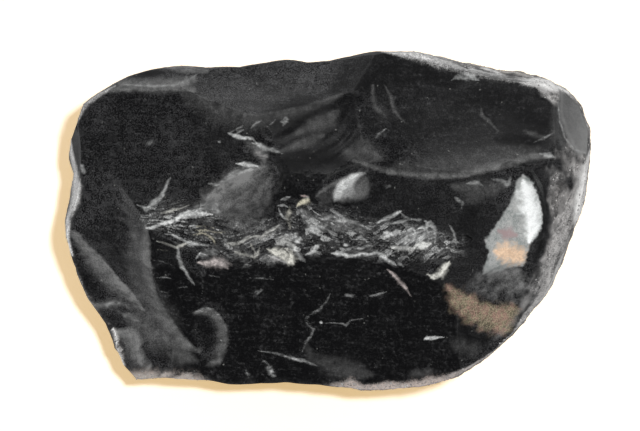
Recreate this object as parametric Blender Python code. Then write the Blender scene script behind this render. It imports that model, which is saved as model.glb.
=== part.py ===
"""Flint nodule, broken open by hand.

A fist-long lump of black flint lying on a flat old fracture. The chalky outer skin (cortex) is left on the
right-hand end, along the foot and on part of the back; everywhere else the stone is bounded by conchoidal
flake scars that meet in sharp arrises. A crushed, hackled band crosses the top, a small pale facet sits near
the right end.

The stone is worked out from its heart: along every direction the surface is the first of these to be met -
the skin, the resting face, a flake scar or a small chip. Sizes are millimetres here and metres in the mesh.
X runs along the stone, +Y to its back, +Z up; the resting face lies in the plane Z = 0.
"""
import math

import bmesh
import bpy
import numpy as np

MM = 0.001

# ---- driving sizes -------------------------------------------------------------------------------------
HEART = (0.0, 0.0, 18.0)          # middle of the stone
REACH = (49.0, 31.0, 17.0)        # half sizes of a plain egg about as big as the stone
CORE = (0.88, 0.84, 0.20)         # the flat core inside it, share of those half sizes
WIDEST_Z = 17.0                   # height of the widest level
DOME_Z = 45.0                     # where the unbroken skin would have closed at the top
UNDER = 22.0                      # how far below the widest level the unbroken skin would have closed
SKIN_SHOULDER = 2.6               # higher = boxier plan, steeper flanks
SKIN_DOME = 3.0
SKIN_KEEL = 2.2
SKIN_LUMP = 0.011                 # swell and sag of the skin, share of the radius

EDGE_TOP = 2.1                    # facet size on the broken top
EDGE_CRUSH = 1.35                 # in the crushed band
EDGE_FLANK = 3.1
EDGE_BASE = 9.0
SNAP = 0.42                       # share of a facet within which a corner is drawn onto an arris

# plan of the widest level, walked anticlockwise from the right-hand tip
RIGHT_BACK = [(49.3, 12), (49.3, 17), (47.6, 21.5), (45, 24.3), (41.5, 26.3), (36, 27.9), (30, 28.6),
              (25, 29.6), (20, 30.9), (14, 31.4), (9, 31.6), (4, 30.6), (0, 29.7)]
LEFT_BACK = [(-4, 29.4), (-8, 29.9), (-12, 29.4), (-17, 28.7), (-23, 28.6), (-28, 28.9), (-33, 28.3),
             (-38, 26.9), (-43, 24.2), (-46.3, 21.8), (-47.4, 18.5), (-48.7, 15), (-49.2, 11.5),
             (-48.2, 8.3), (-49, 4), (-49.8, 0)]
LEFT_FRONT = [(-49, -5), (-47.7, -9.5), (-45.6, -14.8), (-42.2, -19.7), (-41, -22.5), (-39.8, -26),
              (-38, -28.5), (-34, -29.7), (-28, -30.1), (-22.5, -30.4), (-19, -31.2), (-13, -31),
              (-8, -30.8), (-2, -31.3)]
RIGHT_FRONT = [(4, -31.9), (10, -32.1), (16, -31.6), (21, -30.6), (26, -28.4), (31, -24.9), (36, -20),
               (40, -15.3), (43, -10), (45, -4.8), (46.8, -0.5), (48.2, 4), (49, 8)]
PLAN = RIGHT_BACK + LEFT_BACK + LEFT_FRONT + RIGHT_FRONT

# corners where arrises of the broken top meet
LIP_LEFT = (4, 11, 36)
LIP_MIDDLE = (22, 8.2, 34.7)
BAND_FOOT = (-13, 18, 32)
BAND_LEFT = (-25, 22.5, 29)
BACK_CORNER = (-44, 23.5, 26)
CRUSH_LEFT = (-36, 2, 29.5)
CRUSH_RIGHT = (14, -8, 33.6)


# ---- surfaces ------------------------------------------------------------------------------------------
def direction(azimuth, tilt):
    """Unit vector leaning `tilt` degrees from straight up towards `azimuth`."""
    a, t = math.radians(azimuth), math.radians(tilt)
    return np.array([math.cos(a) * math.sin(t), math.sin(a) * math.sin(t), math.cos(t)])


def axes(normal, heading):
    """Rows: along the heading, across it, out of the stone."""
    h = np.array([math.cos(math.radians(heading)), math.sin(math.radians(heading)), 0.0])
    along = h - normal * (h @ normal)
    along = along / np.linalg.norm(along)
    return np.stack([along, np.cross(normal, along), normal])


class Hollow:
    """Stone outside an ellipsoid: the hollow a flake leaves behind."""

    def __init__(self, centre, rows, semi):
        self.centre = np.array(centre, float)
        self.rows = rows
        self.scale = 1.0 / np.array(semi, float)
        self.size = float(min(semi))

    def reach(self, start, way):
        o = ((start - self.centre) @ self.rows.T) * self.scale
        d = (way @ self.rows.T) * self.scale
        a = (d * d).sum(-1)
        b = (o * d).sum(-1)
        c = (o * o).sum(-1) - 1.0
        disc = b * b - a * c
        near = (-b - np.sqrt(np.maximum(disc, 0.0))) / a
        return np.where((disc > 0) & (near > 0), near, 1e9)

    def level(self, p):
        q = ((p - self.centre) @ self.rows.T) * self.scale
        return (np.sqrt((q * q).sum(-1)) - 1.0) * self.size


class Skin:
    """The cortex: the plan at the widest level, closed by a steep dome above and a keel below."""

    def __init__(self):
        pts = np.array(PLAN, float)
        angle = np.arctan2(pts[:, 1], pts[:, 0])
        order = np.argsort(angle)
        radius = np.hypot(pts[:, 0], pts[:, 1])[order]
        angle = angle[order]
        self.angle = np.concatenate([angle - 2 * np.pi, angle, angle + 2 * np.pi])
        self.radius = np.tile(radius, 3)

    def level(self, p):
        x, y, z = p[..., 0], p[..., 1], p[..., 2]
        turn = np.arctan2(y, x)
        off = (z - WIDEST_Z) / 14.0
        lump = np.sin(3 * turn + 0.16 * z) + 0.6 * np.sin(7 * turn - 0.23 * z + 1.0)
        swell = 1.0 + SKIN_LUMP * lump * np.clip(np.abs(off), 0, 1)
        share = np.hypot(x, y) / (np.interp(turn, self.angle, self.radius) * swell)
        up = np.clip((z - WIDEST_Z) / (DOME_Z - WIDEST_Z), 0, None)
        down = np.clip((WIDEST_Z - z) / UNDER, 0, None)
        fill = share ** SKIN_SHOULDER + up ** SKIN_DOME + down ** SKIN_KEEL
        return (1.0 - fill) * 20.0

    def reach(self, start, way):
        near = np.zeros(len(way))
        far = np.full(len(way), 90.0)
        for _ in range(26):
            middle = (near + far) / 2
            inside = self.level(start + way * middle[:, None]) > 0
            near = np.where(inside, middle, near)
            far = np.where(inside, far, middle)
        return far


class Floor:
    """The flat fracture the stone rests on."""

    def reach(self, start, way):
        fall = -way[:, 2]
        return np.where(fall > 1e-9, start[..., 2] / np.maximum(fall, 1e-9), 1e9)

    def level(self, p):
        return p[..., 2]


def arris_scar(a, b, c, radius):
    """Flake scar whose ball of the given radius touches three corners of the stone."""
    a, b, c = (np.array(v, float) for v in (a, b, c))
    normal = np.cross(b - a, c - a)
    normal = normal / np.linalg.norm(normal)
    if normal @ ((a + b + c) / 3 - np.array(HEART)) < 0:
        normal = -normal
    ab, ac = b - a, c - a
    x = np.cross(ab, ac)
    middle = a + (np.cross(x, ab) * (ac @ ac) + np.cross(ac, x) * (ab @ ab)) / (2 * (x @ x))
    ring = np.linalg.norm(middle - a)
    lift = math.sqrt(max(radius * radius - ring * ring, 1.0))
    return Hollow(middle + normal * lift, axes(normal, 0), (radius,) * 3)


def laid_scar(at, azimuth, tilt, radius, across=None, heading=0):
    """Flake scar through a point of the surface, leaning to an azimuth; may be narrower across."""
    normal = direction(azimuth, tilt)
    side = math.sqrt((across or radius) * radius)
    centre = np.array(at, float) + normal * radius
    return Hollow(centre, axes(normal, heading), (radius, side, radius))


def chip(surfaces, at, length, width, depth, heading, lean=None, dip=12):
    """Small shell-shaped scar at a plan position: half length, half width, depth, heading of its length.

    It follows the surface it is struck from, or the lean given, and digs deeper towards its heading."""
    def height(dx, dy):
        start = np.array([[at[0] + dx, at[1] + dy, WIDEST_Z]])
        return first_met(surfaces, start, np.array([[0.0, 0.0, 1.0]]))[0][0] + WIDEST_Z

    step = 0.4
    normal = np.array([height(-step, 0) - height(step, 0), height(0, -step) - height(0, step), 2 * step])
    normal = normal / np.linalg.norm(normal)
    if lean is not None:
        normal = direction(*lean)
    along, side, normal = axes(normal, heading)
    turn = math.radians(dip)
    along, normal = along * math.cos(turn) - normal * math.sin(turn), normal * math.cos(turn) + along * math.sin(turn)
    raised = 0.6                                    # centre of the shell above the surface, share of depth
    rim = math.sqrt(1 - raised * raised)
    semi = (length / rim, width / rim, depth / (1 - raised))
    centre = np.array([at[0], at[1], height(0, 0)]) + normal * (raised * semi[2])
    return Hollow(centre, np.stack([along, side, normal]), semi)


def first_met(surfaces, start, way):
    """Distance to the surface along each way, which surface it is, and the runner-up."""
    reach = np.stack([s.reach(start, way) for s in surfaces])
    order = np.argsort(reach, axis=0)[:2]
    return np.take_along_axis(reach, order, 0)[0], order[0], order[1]


# ---- the stone -----------------------------------------------------------------------------------------
def surfaces_of_the_stone():
    big = [
        Skin(),
        Floor(),
        # the broken top
        arris_scar((-33, -8, 28.2), (14, -8.5, 33.4), (4, -30, 21), 220),      # long front face
        arris_scar(LIP_MIDDLE, (5, 24, 32), (40, 24, 29.3), 60),               # upper right bowl
        arris_scar(LIP_LEFT, (40, 11, 35), (6, -8, 34.3), 160),                # dark hollow under the lip
        arris_scar((-34, -1, 30), CRUSH_RIGHT, (-4, 5, 34.6), 300),            # crushed band
        arris_scar(BAND_FOOT, (6, 27, 32), LIP_LEFT, 70),                      # rippled scar
        arris_scar(BAND_LEFT, BAND_FOOT, (-20, 5, 32.8), 120),                 # left of the ripples
        arris_scar(BACK_CORNER, BAND_LEFT, CRUSH_LEFT, 160),                   # upper left face
        laid_scar((-35, 26, 25), 100, 50, 60),                                 # back bevel, left
        laid_scar((-11, 24, 27.8), 98, 38, 60),                                # back bevel, middle
        laid_scar((-34.6, -3, 29.2), 197, 44, 150, across=20, heading=-76),    # left wall
        laid_scar((-30.6, -16.5, 23.9), 220, 50, 90, across=24, heading=-56),  # left wall, lower
        laid_scar((-36, -25, 17.5), 232, 48, 30),                              # left front corner
        laid_scar((46.3, 17, 27), 22, 50, 90),                                 # lens-shaped facet
        laid_scar((29, -17, 28.5), 318, 36, 70),                               # tan right front face
        laid_scar((43, -2, 29), 352, 44, 70),                                  # right shoulder
        # flanks and underside
        laid_scar((-47.5, 8, 22), 176, 74, 40),                                # left end
        laid_scar((-41, 8, 5), 178, 128, 70),                                  # left end, under
        laid_scar((-34.5, -19.5, 6), 226, 122, 60),                            # left front, under
        laid_scar((-8, -23.5, 5), 266, 130, 80),                               # front, under
        laid_scar((13, -29.4, 12.5), 284, 103, 48),                            # front right
        laid_scar((30, -17, 4), 314, 130, 70),                                 # right front, under
        laid_scar((-29, 23, 6), 112, 122, 60),                                 # back left, under
        laid_scar((-14, 27.7, 12.5), 98, 96, 50),                              # back, left of the middle
        laid_scar((8, 24.5, 5), 84, 124, 70),                                  # back, middle
        laid_scar((36, 17, 4.5), 42, 130, 80),                                 # back right, under
        laid_scar((28, 28.2, 21), 76, 77, 60),                                 # back right
    ]
    small = [
        chip(big, (-22.2, -21.5), 5.5, 2.8, 0.9, 80, dip=4),                   # crescent dish
        chip(big, (-16.8, 4), 7.5, 5.0, 1.2, 35, lean=(120, 20), dip=0),       # grey scar
        chip(big, (2.0, 5.6), 5.2, 2.4, 0.9, 35, lean=(100, 22), dip=0),       # bright wedge
        chip(big, (35.0, 0.0), 10.0, 4.7, 1.6, 108, lean=(20, 22), dip=0),     # pale facet
        chip(big, (31.5, -9.5), 6.5, 5.0, 1.6, 20, dip=0),                     # cup below it
        chip(big, (-30.5, 1.2), 5.4, 1.5, 0.55, 12),
        chip(big, (-26.5, -6.0), 4.8, 1.7, 0.6, -62),
        chip(big, (-21.8, -6.8), 3.6, 2.4, 0.8, 10),
        chip(big, (-13.5, -5.6), 5.0, 1.9, 0.7, -14),
        chip(big, (-7.6, 0.6), 2.8, 3.4, 0.9, 20),
        chip(big, (3.0, -1.6), 4.0, 1.9, 0.6, -8),
        chip(big, (4.8, -5.6), 5.4, 1.6, 0.6, 4),
        chip(big, (13.8, -2.6), 5.8, 2.8, 0.9, -20),
        chip(big, (20.0, -9.2), 2.8, 1.7, 0.6, 38),
        chip(big, (24.0, -2.6), 1.3, 3.2, 0.5, 22),
        chip(big, (12.8, -11.6), 1.3, 4.8, 0.5, 36),
        chip(big, (-12.8, 14.0), 4.4, 1.5, 0.5, -18),
        chip(big, (10.6, 20.6), 1.6, 4.8, 0.5, 20, dip=0),
        chip(big, (25.6, 26.2), 2.6, 1.6, 0.6, 30, dip=0),
        chip(big, (-11.6, -26.8), 1.8, 2.8, 0.6, 25),
    ]
    return big + small


def facet_goal(p):
    """Longest facet edge wanted at each point."""
    x, y, z = p[:, 0], p[:, 1], p[:, 2]
    goal = np.full(len(p), EDGE_FLANK)
    goal[(z > 20.5)] = EDGE_TOP
    goal[(z > 27) & (x > -36) & (x < 25) & (y > -9.5) & (y < 7)] = EDGE_CRUSH
    goal[z < 0.01] = EDGE_BASE
    return goal


def on_the_egg(g):
    """Points drawn back onto the egg."""
    g = (g - np.array(HEART)) / np.array(REACH)
    return np.array(HEART) + g / np.linalg.norm(g, axis=1)[:, None] * np.array(REACH)


def lines_out(g):
    """Start and way of the line that leaves the core and passes through each point of the egg."""
    start = np.array(HEART) + (g - np.array(HEART)) * np.array(CORE)
    way = g - start
    return start, way / np.linalg.norm(way, axis=1)[:, None]


def egg_point_of(q):
    """The point of the egg whose line passes through q."""
    core, span = np.array(CORE), 1.0 - np.array(CORE)
    offset = q - np.array(HEART)
    near, far = np.zeros(len(q)), np.full(len(q), 4.0)
    for _ in range(34):
        t = (near + far) / 2
        scale = core + t[:, None] * span
        beyond = np.linalg.norm(offset / scale / np.array(REACH), axis=1) > 1
        near = np.where(beyond, t, near)
        far = np.where(beyond, far, t)
    return np.array(HEART) + offset / (core + t[:, None] * span)


def surface_at(g, surfaces):
    """Point of the stone on the line of each egg point, the surface it lies on, and the runner-up."""
    start, way = lines_out(g)
    reach, met, next_met = first_met(surfaces, start, way)
    return start + way * reach[:, None], met, next_met


def corners(bm):
    return on_the_egg(np.array([v.co for v in bm.verts], float))


def onto_arris(p, one, two, surfaces):
    """Nearest points where the two surfaces of each corner cross."""
    q = p.copy()
    for _ in range(5):
        f = np.zeros((len(p), 2))
        g = np.zeros((len(p), 2, 3))
        for i, s in enumerate(surfaces):
            for slot, which in ((0, one), (1, two)):
                m = which == i
                if not m.any():
                    continue
                f[m, slot] = s.level(q[m])
                for k in range(3):
                    e = np.zeros(3)
                    e[k] = 0.01
                    g[m, slot, k] = (s.level(q[m] + e) - s.level(q[m] - e)) / 0.02
        square = np.einsum("nik,njk->nij", g, g) + np.eye(2) * 1e-6
        q = q - np.einsum("nik,ni->nk", g, np.linalg.solve(square, f[..., None])[..., 0])
    return q


def draw_onto_arrises(bm, surfaces):
    """Slide corners that lie close to an arris until they sit on it."""
    g = corners(bm)
    p, one, two = surface_at(g, surfaces)
    q = onto_arris(p, one, two, surfaces)
    near = np.linalg.norm(q - p, axis=1) < SNAP * facet_goal(p)
    moved = egg_point_of(q)
    back, _, _ = surface_at(moved, surfaces)
    near &= np.linalg.norm(back - q, axis=1) < 0.08
    g[near] = moved[near]
    for v, c in zip(bm.verts, g):
        v.co = c
    return near


def fold_corners(bm, p):
    """Corners of facets that do not face outwards."""
    _, way = lines_out(corners(bm))
    bad = set()
    for f in bm.faces:
        i, j, k = (v.index for v in f.verts)
        face = np.cross(p[j] - p[i], p[k] - p[i])
        if np.dot(face, way[i] + way[j] + way[k]) < 0.02 * np.linalg.norm(face):
            bad.update((i, j, k))
    return bad


def cut_along_arrises(bm, surfaces, on_arris):
    """Put a corner on the arris wherever an edge runs from one scar to another."""
    bm.verts.ensure_lookup_table()
    g = corners(bm)
    _, met, _ = surface_at(g, surfaces)
    ends = [(e, e.verts[0].index, e.verts[1].index) for e in bm.edges]
    ends = [x for x in ends if met[x[1]] != met[x[2]] and not on_arris[x[1]] and not on_arris[x[2]]]
    if not ends:
        return
    a = g[[x[1] for x in ends]]
    b = g[[x[2] for x in ends]]
    label = met[[x[1] for x in ends]]
    low, high = np.zeros(len(ends)), np.ones(len(ends))
    for _ in range(14):
        mid = (low + high) / 2
        _, m, _ = surface_at(on_the_egg(a + (b - a) * mid[:, None]), surfaces)
        low = np.where(m == label, mid, low)
        high = np.where(m == label, high, mid)
    fresh = []
    for (e, i, _), t in zip(ends, (low + high) / 2):
        first = e.verts[0] if e.verts[0].index == i else e.verts[1]
        fresh.append(bmesh.utils.edge_split(e, first, min(max(float(t), 0.1), 0.9))[1])
    bmesh.ops.connect_verts(bm, verts=fresh)
    bmesh.ops.triangulate(bm, faces=[f for f in bm.faces if len(f.verts) > 3])


def build_stone():
    surfaces = surfaces_of_the_stone()
    bm = bmesh.new()
    bmesh.ops.create_icosphere(bm, subdivisions=3, radius=1.0)
    for v in bm.verts:
        v.co = [c * r + h for c, r, h in zip(v.co, REACH, HEART)]
    for _ in range(8):
        bm.verts.index_update()
        p, _, _ = surface_at(corners(bm), surfaces)
        goal = facet_goal(p)
        ends = np.array([[v.index for v in e.verts] for e in bm.edges])
        length = np.linalg.norm(p[ends[:, 0]] - p[ends[:, 1]], axis=1)
        too_long = length > 1.4 * np.minimum(goal[ends[:, 0]], goal[ends[:, 1]])
        if not too_long.any():
            break
        bmesh.ops.subdivide_edges(bm, edges=[e for e, m in zip(bm.edges, too_long) if m], cuts=1)
        bmesh.ops.triangulate(bm, faces=[f for f in bm.faces if len(f.verts) > 3])
        for v, c in zip(bm.verts, corners(bm)):
            v.co = c
    bm.verts.index_update()
    before = corners(bm)
    on_arris = draw_onto_arrises(bm, surfaces)
    bm.verts.ensure_lookup_table()
    for _ in range(4):
        p, _, _ = surface_at(corners(bm), surfaces)
        bad = fold_corners(bm, p)
        if not bad:
            break
        for i in bad:
            bm.verts[i].co = before[i]
            on_arris[i] = False
    cut_along_arrises(bm, surfaces, on_arris)
    p, _, _ = surface_at(corners(bm), surfaces)
    for v, c in zip(bm.verts, p):
        v.co = c
    bmesh.ops.scale(bm, vec=(MM, MM, MM), verts=bm.verts)
    bmesh.ops.recalc_face_normals(bm, faces=bm.faces)
    mesh = bpy.data.meshes.new("flint_nodule")
    bm.to_mesh(mesh)
    bm.free()
    return mesh


def black_flint():
    mat = bpy.data.materials.new("black_flint")
    mat.use_nodes = True
    shader = next(n for n in mat.node_tree.nodes if n.type == "BSDF_PRINCIPLED")
    shader.inputs["Base Color"].default_value = (0.020, 0.020, 0.022, 1.0)
    shader.inputs["Roughness"].default_value = 0.30
    shader.inputs["Metallic"].default_value = 0.0
    mat.diffuse_color = (0.020, 0.020, 0.022, 1.0)
    return mat


def main():
    for ob in list(bpy.data.objects):
        bpy.data.objects.remove(ob, do_unlink=True)
    stone = bpy.data.objects.new("flint_nodule", build_stone())
    stone.data.materials.append(black_flint())
    bpy.context.scene.collection.objects.link(stone)


main()
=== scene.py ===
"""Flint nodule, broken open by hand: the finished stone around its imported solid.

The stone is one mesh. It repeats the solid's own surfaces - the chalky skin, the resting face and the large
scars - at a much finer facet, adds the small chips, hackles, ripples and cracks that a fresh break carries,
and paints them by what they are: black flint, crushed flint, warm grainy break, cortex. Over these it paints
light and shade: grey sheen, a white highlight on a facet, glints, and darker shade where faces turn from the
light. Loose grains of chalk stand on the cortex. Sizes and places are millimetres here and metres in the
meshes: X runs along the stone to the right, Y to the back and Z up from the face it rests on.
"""

import itertools
import math

import bmesh
import bpy
import numpy as np
from bpy.props import FloatProperty, FloatVectorProperty, IntProperty, PointerProperty
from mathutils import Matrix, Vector


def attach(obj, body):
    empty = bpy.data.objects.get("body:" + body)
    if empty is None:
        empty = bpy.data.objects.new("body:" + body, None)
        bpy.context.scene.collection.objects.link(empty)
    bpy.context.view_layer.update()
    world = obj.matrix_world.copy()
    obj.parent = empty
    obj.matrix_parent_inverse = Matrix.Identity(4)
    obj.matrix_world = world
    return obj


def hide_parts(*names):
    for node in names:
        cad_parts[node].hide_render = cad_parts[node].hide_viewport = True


bl_info = {
    "name": "Flint nodule",
    "version": (1, 0, 0),
    "blender": (4, 5, 0),
    "location": "View3D > Sidebar > Flint",
    "description": "Builds a broken flint nodule with its cortex, scars and hackles around a packed solid",
    "category": "Object",
}

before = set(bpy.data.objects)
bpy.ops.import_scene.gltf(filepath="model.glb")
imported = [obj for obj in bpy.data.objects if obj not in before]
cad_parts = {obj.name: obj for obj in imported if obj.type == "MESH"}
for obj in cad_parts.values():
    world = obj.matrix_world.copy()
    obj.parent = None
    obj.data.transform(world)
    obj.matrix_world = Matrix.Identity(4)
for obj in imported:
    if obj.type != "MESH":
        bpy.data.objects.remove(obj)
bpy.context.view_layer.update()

NODE = "flint_nodule"
MM = 0.001

# ---- driving sizes of the solid, repeated here -----------------------------------------------------------
# the facets are laid out on an egg: its middle, its half sizes, and the share of it that is the core
HEART = np.array((0.0, 0.0, 18.0))
REACH = np.array((49.0, 31.0, 17.0))
CORE = np.array((0.88, 0.84, 0.20))
# the skin: its widest level, the height of the dome above it, how far it closes below, how square it bulges
WIDEST_Z = 17.0
DOME_Z = 45.0
UNDER = 22.0
SKIN_SHOULDER = 2.6
SKIN_DOME = 3.0
SKIN_KEEL = 2.2
SKIN_LUMP = 0.011
SKIN_LUMP_REACH = 14.0

# the plan of the skin at its widest level
RIGHT_BACK = [(49.3, 12), (49.3, 17), (47.6, 21.5), (45, 24.3), (41.5, 26.3), (36, 27.9), (30, 28.6),
              (25, 29.6), (20, 30.9), (14, 31.4), (9, 31.6), (4, 30.6), (0, 29.7)]
LEFT_BACK = [(-4, 29.4), (-8, 29.9), (-12, 29.4), (-17, 28.7), (-23, 28.6), (-28, 28.9), (-33, 28.3),
             (-38, 26.9), (-43, 24.2), (-46.3, 21.8), (-47.4, 18.5), (-48.7, 15), (-49.2, 11.5),
             (-48.2, 8.3), (-49, 4), (-49.8, 0)]
LEFT_FRONT = [(-49, -5), (-47.7, -9.5), (-45.6, -14.8), (-42.2, -19.7), (-41, -22.5), (-39.8, -26),
              (-38, -28.5), (-34, -29.7), (-28, -30.1), (-22.5, -30.4), (-19, -31.2), (-13, -31),
              (-8, -30.8), (-2, -31.3)]
RIGHT_FRONT = [(4, -31.9), (10, -32.1), (16, -31.6), (21, -30.6), (26, -28.4), (31, -24.9), (36, -20),
               (40, -15.3), (43, -10), (45, -4.8), (46.8, -0.5), (48.2, 4), (49, 8)]
PLAN = RIGHT_BACK + LEFT_BACK + LEFT_FRONT + RIGHT_FRONT

# corners that the scars of the top run through
LIP_LEFT = (4, 11, 36)
LIP_MIDDLE = (22, 8.2, 34.7)
BAND_FOOT = (-13, 18, 32)
BAND_LEFT = (-25, 22.5, 29)
BACK_CORNER = (-44, 23.5, 26)
CRUSH_LEFT = (-36, 2, 29.5)
CRUSH_RIGHT = (14, -8, 33.6)

# ---- what only the finished surface has ------------------------------------------------------------------
# the crushed band across the top: middle line in plan and half width along it
BAND_X = (-36, -30, -25, -20, -15, -10, -5, 0, 5, 10, 15, 20, 24)
BAND_Y = (0.5, 0, -1.8, -3.5, -4.5, -4, -2, -2, -3.2, -4, -4.5, -5, -5)
BAND_HALF = (2.0, 3.6, 5.4, 5.4, 4.6, 4.6, 5.4, 5.0, 4.2, 4.0, 3.8, 3.4, 2.4)
BAND_FROM = -36.5                  # the fine facets of the band lie between these
BAND_TO = 25.0
HACKLE_SPAN = (-35.5, 23)          # and its loose hackle chips between these
FAN = (-42.0, 0.5)                 # the hackles at the left spread out from here
FAN_TO = -17.0                     # and run straight along the band beyond here
COARSE_FACET = 1.9                 # facets of the coarse stone whose arrises are bitten
NIBBLE_SHARE = 0.2                 # share of the arris points that are bitten on the flanks
NIBBLE_SHARE_TOP = 0.05            # and around the top
TOP_Z = 20.5                       # the broken top and its fine facets lie above this
ARRIS_ANGLE = 34                   # degrees between facets from which an edge is drawn sharp
FULLER_AT = (-36.2, -27.8)         # the front left corner bulges here
FULLER_SPREAD = 2.6
FULLER_PUSH = (-1.55, -1.35, 0.0)
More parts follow.
